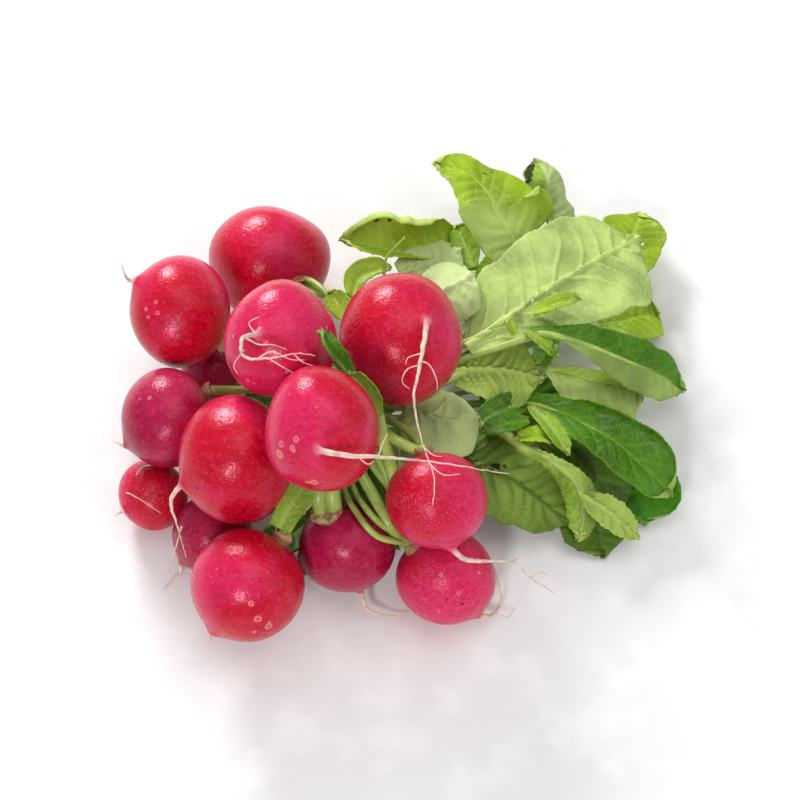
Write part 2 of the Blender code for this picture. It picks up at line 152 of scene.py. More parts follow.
# The look of each blade: its tint, which face is up (0 upper, 180 under), its midrib, the half
# widths of its left and right halves at even steps from base to tip, how far each half is
# raised in degrees, how far each has turned again by its edge, how tall its waves are, how
# deep its teeth are, and the half that shows its pale side. Left and right are as seen from
# above, looking from base to tip.
BLADES = {
    "leaf_01": ("bright", 0, [(25, 61.5, 22), (13, 56.5, 24), (-3.5, 55.5, 27), (-19.5, 58, 30)],
                (2, 4, 5, 5.5, 5.5, 4), (3, 11, 15, 16, 16, 12), (25, 42), (30, 165), 0.6, 0.25, None),
    "leaf_02": ("bright", 0, [(40.9, 61.6, 22), (32.3, 69.3, 27), (29, 76.4, 30), (21.2, 83.6, 32),
                              (11, 88, 31)],
                (14, 12.5, 12.5, 11, 8, 4), (17, 19, 15, 8, 6, 3), (6, 10), (-14, -12), 0.9, 0.3, None),
    "leaf_03": ("grey", 0, [(50.3, 71.9, 17), (49.7, 83.1, 22), (49.1, 88.3, 24), (45.7, 95.8, 23)],
                (1, 2, 5, 8, 8, 5), (9.4, 9, 8, 7, 5.5, 3), (14, -20), (10, -45), 0.6, 0.3, "right"),
    "leaf_04": ("pale", 180, [(21, 18, 27), (38, 29.5, 31), (56, 43, 32), (78, 61.5, 25)],
                (2, 15.5, 19, 20, 18, 13), (3, 9, 15, 19, 22, 18), (5, -3), (8, -12), 1.5, 0.45, None),
    "leaf_05": ("bright", 0, [(68.5, 49.5, 6), (75.5, 63.5, 12), (82, 83, 10)],
                (3, 8, 10, 11, 11, 8), (3, 8, 10, 11, 11, 9), (5, 5), (10, 10), 1.8, 0.4, None),
    "leaf_06": ("bright", 0, [(66, 38.5, 7), (77, 42, 7), (87, 46, 3)],
                (3, 8, 10, 11, 10, 8), (3, 8, 10, 11, 10, 8), (8, 8), (10, 10), 1.4, 0.4, None),
    "leaf_07": ("dark", 0, [(40.5, 19.5, 36), (55, 15, 36), (69, 12.5, 30), (82.5, 12.5, 20), (92, 12, 10)],
                (1, 5, 8, 9.5, 8.5, 6), (0.6, 1.5, 5, 8, 9, 7), (8, -25), (-10, -20), 0.9, 0.3, "right"),
    "leaf_08": ("mid", 180, [(17.5, 12.5, 21), (31.5, 12.5, 22), (45.5, 11.5, 18)],
                (4, 8, 11, 12, 11, 8), (5, 9, 11, 13, 12, 8), (5, -5), (8, -12), 1.3, 0.9, None),
    "leaf_09": ("pale", 0, [(47, 16.5, 16), (60.5, 11, 18), (79, 10.5, 12)],
                (1, 3, 3.5, 4, 4, 3), (1, 7, 14, 17, 17, 14), (35, -10), (10, -12), 1.0, 1.0, "right"),
    "leaf_10": ("dark", 0, [(41, 3.5, 19), (59, -8.5, 24), (73, -17.5, 19), (85, -27, 11)],
                (3, 5.5, 8, 10, 11, 9), (3, 6, 7.5, 8.5, 8.5, 6), (20, 4), (90, 10), 1.1, 0.3, None),
    "leaf_11": ("deep", 0, [(66.5, -3, 9), (74, -13.4, 10), (77, -23, 7), (76.5, -33, 4)],
                (7, 9, 10, 11, 12, 11), (4, 8, 11, 12, 12, 11), (20, 6), (45, 14), 0.9, 0.25, None),
    "leaf_12": ("shade", 180, [(17, -14, 15), (34, -23.5, 16), (52, -34.5, 8)],
                (8, 13, 14, 14, 13, 10), (6, 12, 14, 13, 10, 7), (4, -4), (8, -14), 1.4, 0.4, None),
    "leaf_13": ("mid", 0, [(36.5, -15.3, 23), (45.4, -20.6, 25), (51.5, -24.4, 23), (55.8, -28, 18),
                           (57, -32.5, 12),
                           (55.5, -39.5, 6)],
                (1, 1.8, 3, 5, 10.5, 30), (1, 2.2, 4.5, 6.5, 6.5, 5), (-2, -50), (-4, -30), 0.5, 0.9,
                "left"),
    "leaf_14": ("shade", 0, [(52.6, -11, 9), (59, -26, 7), (63.5, -43.5, 2)],
                (3, 8, 10, 11, 12, 11), (3, 8, 10, 12, 12, 11), (6, 4), (10, 10), 1.3, 0.4, None),
    "leaf_15": ("seed", 180, [(5, 31.5, 31), (14.5, 35, 34), (24, 40.5, 35)],
                (6, 9, 11.5, 12, 11.5, 9), (6, 9, 11, 11.5, 11, 9), (-6, -8), (-30, -34), 0.15, 0.0, None),
    "leaf_16": ("seed", 180, [(0, 46, 26), (9.5, 50, 27), (20.5, 56, 26)],
                (5, 8, 9.5, 10, 9, 7), (5, 7, 8.5, 9, 8, 6), (-6, -6), (-16, -20), 0.15, 0.0, None),
    "leaf_17": ("seed", 180, [(2, -3, 27), (13, -8.5, 27), (25, -6, 24)],
                (8, 10.5, 11.5, 12, 11, 9), (8, 10.5, 11.5, 12, 11, 9), (-6, -6), (-26, -30), 0.15, 0.0,
                None),
    "leaf_18": ("dark", 0, [(17.5, -2, 3), (38.5, -11.5, 3), (56, -16, 2)],
                (6, 11, 13, 13, 12, 9), (6, 11, 13, 13, 12, 9), (5, 5), (10, 10), 1.0, 0.4, None),
    "leaf_19": ("dark", 0, [(26, 12, 4), (52, 15, 4), (74, 19, 2)],
                (5, 7, 7, 6, 5, 4), (6, 11, 14, 14, 13, 9), (5, 5), (10, 10), 1.2, 0.4, None),
    "leaf_20": ("mid", 0, [(18.5, 46, 5), (40, 62, 4), (58, 76, 2)],
                (5, 9, 11, 11, 10, 8), (5, 9, 11, 11, 10, 8), (5, 5), (10, 10), 1.2, 0.4, None),
    "leaf_21": ("bright", 0, [(-16.5, 24.5, 33), (-19.5, 30.5, 33), (-23, 35, 34)],
                (1.5, 3, 4, 4, 3.5, 2.5), (1.5, 3, 4, 4, 3.5, 2.5), (14, 14), (30, 30), 0.5, 0.2, None),
    "leaf_22": ("bright", 0, [(-15.5, 36.5, 28), (-12, 44.5, 29), (-3, 47.5, 29)],
                (2, 4, 5, 5, 4, 3), (1, 2, 3, 3, 2, 2), (14, 14), (30, 30), 0.5, 0.2, None),
    "leaf_23": ("dark", 0, [(-14, -15.5, 66), (-19.5, -12.5, 74), (-22.5, -8, 79)],
                (2, 3, 3.5, 3.5, 3, 2), (2, 3, 3.5, 3.5, 3, 2), (35, 30), (50, 40), 0.3, 0.2, None),
    "leaf_24": ("mid", 0, [(-6.5, -23.5, 55), (-10, -20, 64), (-14.5, -16.5, 70)],
                (2, 3, 3.5, 3.5, 3, 2), (2, 3, 3.5, 3.5, 3, 2), (35, 30), (40, 40), 0.3, 0.2, None),
    "spare_leaf_01": ("dark", 0, [(-15, -8, 8), (-23, -30, 7), (-29.5, -50.5, 5)],
                      (4, 6, 7, 7, 6, 4), (4, 5, 6, 6, 5, 4), (8, 8), (12, 12), 1.0, 0.3, None),
    "spare_leaf_02": ("dark", 0, [(-12, -8, 8), (-4, -26, 7), (-1, -42, 6)],
                      (4, 7, 9, 9, 8, 6), (4, 6, 8, 8, 7, 5), (8, 8), (12, 12), 1.0, 0.3, None),
    "spare_leaf_03": ("dark", 0, [(-18, 6, 12), (-37, 6, 11), (-54, 1, 7)],
                      (4, 7, 9, 9, 8, 6), (4, 7, 9, 9, 8, 6), (8, 8), (12, 12), 1.0, 0.3, None),
    "spare_leaf_04": ("mid", 0, [(-35.5, -50.5, 37), (-31, -43, 40), (-26, -35.5, 40)],
                      (3.4, 3.8, 4.2, 4.6, 4.6, 4), (3, 3.6, 4, 4, 4, 4), (10, -20), (10, -20), 0.5, 0.2,
                      None),
    "spare_leaf_07": ("dark", 0, [(-28, -35, 11), (-37, -43, 13), (-46, -49, 11)],
                      (3, 5, 6, 6, 5, 4), (3, 5, 6, 6, 5, 4), (8, 8), (12, 12), 0.8, 0.3, None),
    "spare_leaf_06": ("shade", 0, [(50.6, -7, 13), (62, -21, 12), (68, -32, 8)],
                      (3, 7, 9, 9, 8, 7), (3, 8, 10, 10, 9, 7), (6, 4), (10, 10), 2.0, 0.4, None),
    "spare_leaf_05": ("mid", 0, [(-33, 8, 37), (-40, 5, 36), (-46, 2, 34)],
                      (2, 3, 3.4, 3.4, 3, 2), (2, 3, 3.4, 3.4, 3, 2), (15, -20), (10, -20), 0.5, 0.2, None),
}

# Small lobes along a leaf's stalk: base, tip, half width, arch, roll, tint and teeth.
LOBES = {
    "leaf_07": [((41.7, 24.9, 37), (56.4, 27.8, 41), 2.9, 1.2, 10, "bright", 0.5),
                ((36.5, 17.6, 36), (33.6, 20.6, 39), 1.6, 0.4, 0, "bright", 0.3),
                ((39.5, 19, 36), (49, 10.8, 33), 3.0, 0.8, 25, "mid", 0.5),
                ((48.5, 17.6, 35.5), (43.5, 9.6, 29), 4.0, 0.8, -10, "dark", 0.5)],
    "leaf_10": [((41, 0, 22), (52, -18.5, 24), 4.0, 1.5, 20, "mid", 0.5),
                ((49, -12.5, 22.5), (35, -13.4, 25.5), 3.6, 1.2, -15, "bright", 0.6)],
    "leaf_13": [((56, -28.5, 15.5), (74, -39.5, 7), 5.5, 1.5, 178, "mid", 0.9)],
    "leaf_08": [((41, 3.5, 18), (24, -5, 20), 5.0, 1.5, 0, "dark", 0.7),
                ((40, -8, 27), (24.5, -12.5, 27), 3.6, 1.0, 0, "dark", 0.6)],
    "leaf_01": [((24.1, 49.6, 25), (18.5, 66, 26), 4.5, 0.8, 20, "mid", 0.3)],
    "leaf_02": [((36, 50, 21), (48, 66, 20), 4.5, 1.2, 10, "bright", 0.5)],
}

# tint: upper face, underside and vein colours.
TINTS = {
    "bright": ((0.300, 0.470, 0.010), (0.46, 0.62, 0.14), (0.50, 0.66, 0.10)),
    "mid": ((0.190, 0.340, 0.012), (0.36, 0.50, 0.085), (0.46, 0.60, 0.14)),
    "dark": ((0.055, 0.185, 0.003), (0.30, 0.43, 0.10), (0.20, 0.38, 0.03)),
    "pale": ((0.300, 0.470, 0.030), (0.50, 0.66, 0.19), (0.60, 0.74, 0.22)),
    "deep": ((0.040, 0.200, 0.002), (0.24, 0.38, 0.07), (0.10, 0.30, 0.01)),
    "shade": ((0.095, 0.190, 0.018), (0.190, 0.300, 0.035), (0.060, 0.120, 0.012)),
    "grey": ((0.250, 0.420, 0.010), (0.38, 0.50, 0.17), (0.50, 0.62, 0.26)),
    "seed": ((0.30, 0.46, 0.08), (0.54, 0.67, 0.27), (0.58, 0.71, 0.32)),
}

# Bitten holes in a leaf: place along it, place across it, and size.
HOLES = {
    "leaf_12": [(0.33, 0.12, 1.7), (0.38, 0.22, 0.9)],
    "leaf_14": [(0.5, -0.3, 1.0)],
    "leaf_05": [(0.62, 0.35, 0.8)],
}

# Blackened patches on a leaf: place along it, place across it, and size in millimetres.
DECAY = {
    "leaf_01": [(0.80, 0.55, 1.3), (0.70, 0.6, 1.0)],
    "leaf_02": [(0.99, 0.1, 2.0), (0.62, 0.5, 0.9)],
    "leaf_03": [(0.90, -0.55, 3.2), (0.76, -0.75, 2.6), (0.62, -0.85, 1.8)],
}

# Painted light: where a leaf is painted a paler green that stands in for light on it; place along it, place
# across it, and size in millimetres.
PAINTED_LIGHT = {"leaf_02": [(0.08, -0.50, 17.0)]}

# Extra stalks to under the bunch, from a globe's crown or from their own first point: the points
# and the radius.
SPARE_STALKS = {
    "radish_10": [([(-23.3, -43.6, 33), (-24, -38.5, 38), (-23, -30, 38), (-18, -8, 20)], 2.2),
                  ([(-19.4, -43.6, 33.6), (-20, -38.5, 38.5), (-19.5, -30, 38), (-15, -8, 20)], 2.2)],
    "radish_11": [([(0, -48.4, 26), (-4.5, -44, 31.5), (-8.5, -35.5, 30.7), (-12.5, -24, 26), (-14, -6, 17)],
                   1.9),
                  ([(0.9, -49.5, 26), (-2.4, -50.4, 28.7), (-6.5, -50.8, 32.3), (-10, -48.6, 34.9),
                    (-13, -44.1, 35.3),
                    (-15.5, -38.5, 33), (-17, -30, 28), (-16, -6, 13)], 0.95),
                  ([(-3.5, -47.2, 29.8), (-10, -42.5, 33.9), (-14.5, -30, 27), (-15, -6, 15)], 1.0),
                  ([(0.5, -36, 27), (-2, -30.5, 33), (-5, -23.5, 42), (-7.5, -16.5, 49), (-12, -9, 37)],
                   2.2),
                  ([(-0.5, -36.5, 25), (-5, -27.5, 32), (-9, -21, 37), (-12, -6, 24)], 1.4),
                  ([(-2.5, -33, 27), (-8.5, -23.5, 28), (-13, -6, 19)], 1.6)],
    "radish_08": [([(-1.5, -24, 43), (-7.6, -11.7, 31.5), (-14, 0, 22)], 1.5),
                  ([(3, -20, 40), (-4, -8, 27), (-13, 2, 19)], 1.3)],
    "radish_09": [([(-30.6, -45.6, 36.5), (-24.1, -36.4, 35), (-19, -16, 26)], 1.6)],
    "radish_07": [([(-17.5, -12, 45), (-14, -2, 30), (-13, 4, 20)], 1.4)],
    "radish_03": [([(-26, 12, 40), (-20, 12, 28), (-14, 8, 18)], 1.4)],
    "radish_06": [([(-27, -14, 36), (-20, -8, 27), (-15, 0, 18)], 1.5)],
    "radish_01": [([(-7, 36, 26), (-5.1, 44.1, 31), (-4.2, 47, 35), (1.6, 50.7, 41)], 0.9)],
}

# Dry husks round stalks that leave a globe beside its crown: way along them, and radii.
HUSKS = {
    "radish_10": ([(-21.3, -44.4, 31.6), (-21.8, -43.6, 33.2), (-22.2, -43.0, 34.8)], (3.6, 5.0, 4.9)),
    "radish_11": ([(6.5, -48, 21.5), (4.2, -50.2, 22.6), (2.2, -51.8, 23.4)], (2.8, 3.1, 1.3)),
}


# Fine side roots: further points of each hair.
ROOT_HAIRS = {
    "radish_03": [[(-41, -10.5, 80.5), (-43, -7, 81), (-40, -5.5, 82)],
                  [(-44, -16, 81), (-47, -19, 78), (-46, -21, 76)],
                  [(-37, -18.5, 80.5), (-33, -20.5, 79), (-30, -21.5, 77.5)],
                  [(-40, -18.4, 80.5), (-36, -16.5, 81), (-31, -18.5, 80), (-27, -17.8, 78.5)],
                  [(-30, -16.8, 80), (-27.5, -18.5, 78.5), (-24.5, -18.6, 76.5), (-22, -17.5, 74)],
                  [(-43.5, -12.5, 81.6), (-40, -14.2, 81), (-36, -14.6, 81.5), (-32, -15.6, 80.5)]],
    "radish_04": [[(5.5, -11, 67), (8.5, -12.5, 67), (10.5, -17, 66.5), (10.8, -20, 65.5)],
                  [(5.2, -12.5, 66.8), (2, -14, 66.8), (0.6, -17.5, 66), (2.8, -19.5, 65)],
                  [(5.8, -9, 67.5), (2.4, -10.4, 67.6), (1.6, -12.5, 67)],
                  [(6.6, -36, 60.6), (9.5, -38.5, 60.2), (12, -38.9, 60)]],
    "radish_07": [[(-12, -49, 79.6), (-9, -51.4, 79), (-7, -50, 78)],
                  [(-6, -48, 76.6), (-5, -44.5, 77), (-3.4, -41, 77.5)],
                  [(8, -45.2, 68), (12, -47.8, 66), (17, -47.2, 65)]],
    "radish_06": [[(-64.5, -48, 33.5), (-67, -54, 28), (-69, -56.5, 25), (-68.4, -58, 22)]],
    "radish_08": [[(33, -59, 32), (36, -56.6, 31), (41, -55.6, 30)],
                  [(38.5, -62, 27.5), (41.6, -60, 27), (44, -60.5, 26)]],
    "radish_11": [[(29.6, -63, 4), (33, -64, 3.4), (35.4, -61, 4)]],
    "radish_12": [[(-84, -27.6, 13.4), (-80, -22.6, 21.8), (-74.6, -21.6, 22.2), (-69.6, -22, 21)],
                  [(-84.5, -27.6, 13.6), (-83.6, -30, 20), (-79, -33, 21), (-73, -36.5, 19)]],
}


# Patches of marks in the skins: the globe, where on its front the patch is (right and up, as
# shares of its radius), how far the patch spreads in millimetres, and how many marks it has.
NICK_PATCHES = [
    ("radish_07", (-0.5, -0.2), 3.5, 6), ("radish_07", (-0.15, -0.8), 1.5, 2),
    ("radish_02", (-0.5, 0.0), 3.5, 4), ("radish_09", (0.3, -0.5), 4.5, 5),
]
SPECK_PATCHES = [
    ("radish_02", (0.1, -0.25), 1.0, 1), ("radish_06", (-0.6, -0.4), 1.0, 1),
    ("radish_07", (-0.3, 0.7), 1.0, 1), ("radish_11", (0.15, -0.3), 3.0, 2),
]


class RadishSettings(PropertyGroup):
    skin: FloatVectorProperty(name="Skin", description="Colour of a fresh red skin", subtype="COLOR",
                              default=(0.54, 0.0004, 0.018), min=0, max=1)
    bloom: FloatVectorProperty(name="Bloom", description="Colour of the rosy patches on the skin",
                               subtype="COLOR",
                               default=(0.70, 0.018, 0.115), min=0, max=1)
    root: FloatVectorProperty(name="Root", description="Colour of the tap root", subtype="COLOR",
                              default=(0.80, 0.62, 0.50), min=0, max=1)
    unevenness: FloatProperty(name="Unevenness", description="How far a globe strays from round",
                              unit="LENGTH",
                              default=0.0006, min=0)
    neck: FloatProperty(name="Neck", description="How far a globe draws out towards its root, as a share",
                        default=0.10, min=0, max=0.5)
    root_radius: FloatProperty(name="Root radius", description="Radius of a root where it leaves the globe",
                               unit="LENGTH", default=0.00092, min=0.0002)


class LeafSettings(PropertyGroup):
    thickness: FloatProperty(name="Thickness", description="Thickness of a blade between its veins",
                             unit="LENGTH",
                             default=0.00038, min=0.0001)
    rows: IntProperty(name="Rows", description="Rows of faces along the largest blades", default=96, min=12)
    columns: IntProperty(name="Columns", description="Columns of faces across a blade", default=44, min=8)
    stalk: FloatVectorProperty(name="Stalk", description="Colour of the stalks", subtype="COLOR",
                               default=(0.40, 0.54, 0.115), min=0, max=1)


class BandSettings(PropertyGroup):
    colour: FloatVectorProperty(name="Colour", description="Colour of the rubber", subtype="COLOR",
                                default=(0.50, 0.33, 0.14), min=0, max=1)
    turns: IntProperty(name="Turns", description="Times the band goes round the stalks", default=3, min=1)


class StageSettings(PropertyGroup):
    floor: FloatVectorProperty(name="Floor", description="Colour of the floor", subtype="COLOR",
                               default=(0.93, 0.93, 0.93), min=0, max=1)
    elevation: FloatProperty(name="Elevation", description="Camera's height above the horizon",
                             subtype="ANGLE",
                             default=math.radians(60))
    distance: FloatProperty(name="Distance", description="Camera's distance from the bunch", unit="LENGTH",
                            default=0.590)
    lens: FloatProperty(name="Lens", description="Focal length in millimetres", default=85.0)


def unit(v):
    v = np.asarray(v, float)
    return v / np.linalg.norm(v)


def hermite(a, a_way, b, b_way, count):
    """Points of a cubic from a, leaving along a_way, to b, arriving along b_way."""
    t = np.linspace(0.0, 1.0, count)[:, None]
    return ((2 * t**3 - 3 * t**2 + 1) * a + (t**3 - 2 * t**2 + t) * a_way
            + (3 * t**2 - 2 * t**3) * b + (t**3 - t**2) * b_way)


def smooth_path(points, count):
    """Points of an even curve through the given ones."""
    points = np.asarray(points, float)
    ways = np.gradient(points, axis=0)
    pieces = [hermite(points[i], ways[i], points[i + 1], ways[i + 1], 12)[:-1]
              for i in range(len(points) - 1)]
    return resample(np.vstack(pieces + [points[-1:]]), count)


def resample(path, count):
    """The same line with its points the same distance apart."""
    along = np.concatenate([[0.0], np.cumsum(np.linalg.norm(np.diff(path, axis=0), axis=1))])
    wanted = np.linspace(0.0, along[-1], count)
    return np.column_stack([np.interp(wanted, along, path[:, k]) for k in range(3)])


def carried_frames(path, first_side):
    """A way and a side direction at each point, carried along the path without twisting."""
    ways = np.array([unit(w) for w in np.gradient(path, axis=0)])
    sides = []
    side = np.asarray(first_side, float)
    for way in ways:
        side = unit(side - way * (side @ way))
        sides.append(side)
    return ways, np.array(sides)


def drawn_out(off, oval):
    """Widens an offset from a globe's centre by the globe's two shares."""
    off = np.asarray(off, float)
    along = (off @ LONG_WAY)[..., None]
    return off + (oval[0] - 1) * off[..., :1] * (1.0, 0.0, 0.0) + (oval[1] - 1) * along * LONG_WAY


def scattered_marks(patches, seed):
    """The place and radius of each mark, scattered over the front of its globe."""
    rng = np.random.default_rng(seed)
    rightward = np.array([1.0, 0.0, 0.0])
    front = np.cross(rightward, LONG_WAY)
    marks = []
    for name, (right, high), spread, count in patches:
        centre, radius, *_ = RADISHES[name]
        for _ in range(count):
            a, b = np.array((right, high)) + rng.uniform(-1, 1, 2) * spread / radius
            depth = math.sqrt(max(0.0, 1 - a * a - b * b))
            way = unit(a * rightward + b * LONG_WAY + depth * front)
            place = np.asarray(centre, float) + drawn_out(way * radius, OVALS.get(name, (1, 1)))
            marks.append((place, rng.uniform(0.5, 1.1)))
    return marks


def stalk_start(radish, number, count):
    """Where a leaf leaves its radish's crown, and the way it leaves."""
    centre, radius, root_way, *_ = RADISHES[radish]
    way = -unit(root_way)
    side = unit(np.cross(way, SIDE_HINT))
    turn = 2 * math.pi * number / max(count, 1) + 0.6
    spread = 0.0 if count == 1 else 1.6 / math.sin(math.pi / count)
    off = spread * (math.cos(turn) * side + math.sin(turn) * np.cross(way, side))
    crown = drawn_out(way * radius * CROWN_REACH, OVALS.get(radish, (1, 1)))
    return np.asarray(centre, float) + crown + way * 1.3 + off, way


def band_places():
    """Gives each tied stalk its own place in the band: one in the middle and two rings round it."""
    places = [(0.0, 0.0)]
    for reach, number in BAND_RINGS:
        places += [(reach * math.cos(2 * math.pi * k / number), reach * math.sin(2 * math.pi * k / number))
                   for k in range(number)]
    wishes = {}
    for name, (radish, base, *_, tied) in LEAVES.items():
        if tied:
            start, way = stalk_start(radish, 0, 1)
            wish = 0.6 * (start + way * 8) + 0.4 * np.asarray(base, float) - BAND_CENTRE
            wishes[name] = wish[1:] * min(1.0, BAND_INNER / np.linalg.norm(wish[1:]))
    taken = {}
    costs = sorted((float(np.sum((wish - place) ** 2)), name, k)
                   for name, wish in wishes.items() for k, place in enumerate(places))
    for _, name, k in costs:
        if name not in taken and k not in taken.values():
            taken[name] = k
    return {name: BAND_CENTRE + (0.0, *places[k]) for name, k in taken.items()}


def first_stalks(places):
    """Each stalk's line before the stalks push each other aside."""
    of_radish = {}
    for name, row in LEAVES.items():
        of_radish.setdefault(row[0], []).append(name)
    stalks = {}
    for name, (radish, base, tip, *_, tied) in LEAVES.items():
        mates = of_radish[radish]
        start, way = stalk_start(radish, mates.index(name), len(mates))
        base, tip = np.asarray(base, float), np.asarray(tip, float)
        into_blade = unit(tip - base)
        if tied:
            gate = places[name]
            near = np.linalg.norm(gate - start)
            far = np.linalg.norm(base - gate)
            first = hermite(start, way * near * 0.9, gate, np.array([near * 0.9, 0, 0]), 30)
            second = hermite(gate, np.array([far * 0.9, 0, 0]), base, into_blade * far * 0.9, 24)
            stalks[name] = resample(np.vstack([first[:-1], second]), 56)
        else:
            far = np.linalg.norm(base - start)
            stalks[name] = resample(hermite(start, way * far, base, into_blade * far, 20), 20)
    return stalks


def push_apart(stalks, places, rounds=1000):
    """Lets the stalks slide past each other, the globes, the band and the table."""
    names = list(stalks)
    points = np.vstack([stalks[n] for n in names])
    owner = np.concatenate([[i] * len(stalks[n]) for i, n in enumerate(names)])
    held = (np.diff(owner, prepend=-1) != 0) | (np.diff(owner, append=-1) != 0)
    tied = np.array([LEAVES[n][-1] for n in names])[owner]
    home = np.array([places.get(n, BAND_CENTRE) for n in names])[owner]
    apart = 2 * STALK_RADIUS + STALK_GAP + 0.75
    for turn in range(rounds):
        if turn % 25 == 0:
            gap = np.linalg.norm(points[:, None] - points[None], axis=2)
            one, two = np.nonzero((owner[:, None] < owner[None]) & (gap < apart + 4))
        gap = points[one] - points[two]
        far = np.linalg.norm(gap, axis=1) + 1e-6
        push = gap * (0.3 * np.maximum(apart - far, 0.0) / far)[:, None]
        step = np.zeros_like(points)
        np.add.at(step, one, push)
        np.add.at(step, two, -push)
        for name, (centre, radius, *_) in RADISHES.items():
            wide, long = OVALS.get(name, (1, 1))
            off = drawn_out(points - np.array(centre, float), (1 / wide, 1 / long))
            away = np.linalg.norm(off, axis=1)
            short = np.maximum(radius + STALK_RADIUS + 1.0 - away, 0.0)
            step += off / away[:, None] * short[:, None] * 0.7
        inner = ~held
        smooth = np.zeros_like(points)
        smooth[inner] = (np.roll(points, 1, 0) + np.roll(points, -1, 0))[inner] / 2 - points[inner]
        points = points + np.where(held[:, None], 0.0, step + 0.3 * smooth)
        points[:, 2] = np.maximum(points[:, 2], STALK_RADIUS + 0.3)
        in_band = tied & (np.abs(points[:, 0] - BAND_CENTRE[0]) < BAND_WIDTH / 2 + 1)
        points[in_band, 1:] += 0.3 * (home - points)[in_band, 1:]
        by_band = tied & (np.abs(points[:, 0] - BAND_CENTRE[0]) < BAND_WIDTH / 2 + 5)
        off = points[by_band] - BAND_CENTRE
        off[:, 0] = 0.0
        away = np.linalg.norm(off, axis=1) + 1e-6
        room = BAND_INNER - STALK_RADIUS - 0.5
        points[by_band] -= off * np.maximum(1 - room / away, 0.0)[:, None]
    return {n: points[owner == i] for i, n in enumerate(names)}


# Objects and operators.

def clear_selection():
    if bpy.context.object and bpy.context.object.mode != "OBJECT":
        bpy.ops.object.mode_set(mode="OBJECT")
    bpy.ops.object.select_all(action="DESELECT")


def make_active(*objects):
    clear_selection()
    for obj in objects:
        obj.select_set(True)
    bpy.context.view_layer.objects.active = objects[0]


def finish_piece(obj, name, node):
    """Names a piece, puts its place in its mesh, and ties it to the frame."""
    obj.name = obj.data.name = name
    make_active(obj)
    bpy.ops.object.transform_apply(location=True, rotation=True, scale=True)
    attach(obj, "root")
    if node:
        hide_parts(node)
    clear_selection()
    return obj


def apply_modifiers(obj):
    make_active(obj)
    for modifier in list(obj.modifiers):
        bpy.ops.object.modifier_apply(modifier=modifier.name)


def mesh_points(mesh):
    flat = np.empty(len(mesh.vertices) * 3, np.float32)
    mesh.vertices.foreach_get("co", flat)
    return flat.reshape(-1, 3).astype(float)


def set_mesh_points(mesh, points):
    mesh.vertices.foreach_set("co", np.ascontiguousarray(points, np.float32).ravel())
    mesh.update()


def paint(mesh, name, values):
    """Stores one number at each point of a mesh."""
    layer = mesh.attributes.new(name, "FLOAT", "POINT")
    layer.data.foreach_set("value", np.ascontiguousarray(values, np.float32))


def to_frame(points_mm):
    return (np.asarray(points_mm, float) + BUNCH_SHIFT) * MM


def tube(name, path_mm, radii_mm, material, resolution=3):
    """A round tapering tube along a path, as a mesh object."""
    points = to_frame(path_mm)
    curve = bpy.data.curves.new(name, "CURVE")
    curve.dimensions = "3D"
    curve.bevel_depth = 1.0
    curve.bevel_resolution = resolution
    curve.use_fill_caps = True
    spline = curve.splines.new("POLY")
    spline.points.add(len(points) - 1)
    for point, place, radius in zip(spline.points, points, radii_mm):
        point.co = (*place, 1.0)
        point.radius = radius * MM
    obj = bpy.data.objects.new(name, curve)
    bpy.context.scene.collection.objects.link(obj)
    curve.materials.append(material)
    make_active(obj)
    bpy.ops.object.convert(target="MESH")
    obj = bpy.context.object
    bpy.ops.object.mode_set(mode="EDIT")
    bpy.ops.mesh.select_all(action="SELECT")
    bpy.ops.mesh.remove_doubles(threshold=1e-6)
    bpy.ops.mesh.normals_make_consistent(inside=False)
    bpy.ops.object.mode_set(mode="OBJECT")
    bpy.ops.object.shade_smooth()
    return obj


# Materials.

class Signal:
    """A socket's output that can be added, multiplied and so on."""

    def __init__(self, sheet, socket):
        self.sheet, self.socket = sheet, socket

    def __add__(self, other):
        return self.sheet.maths("ADD", self, other)

    def __radd__(self, other):
        return self.sheet.maths("ADD", other, self)

    def __sub__(self, other):
        return self.sheet.maths("SUBTRACT", self, other)

    def __rsub__(self, other):
        return self.sheet.maths("SUBTRACT", other, self)

    def __mul__(self, other):
        return self.sheet.maths("MULTIPLY", self, other)

    def __rmul__(self, other):
        return self.sheet.maths("MULTIPLY", other, self)

    def __pow__(self, other):
        return self.sheet.maths("POWER", self, other)


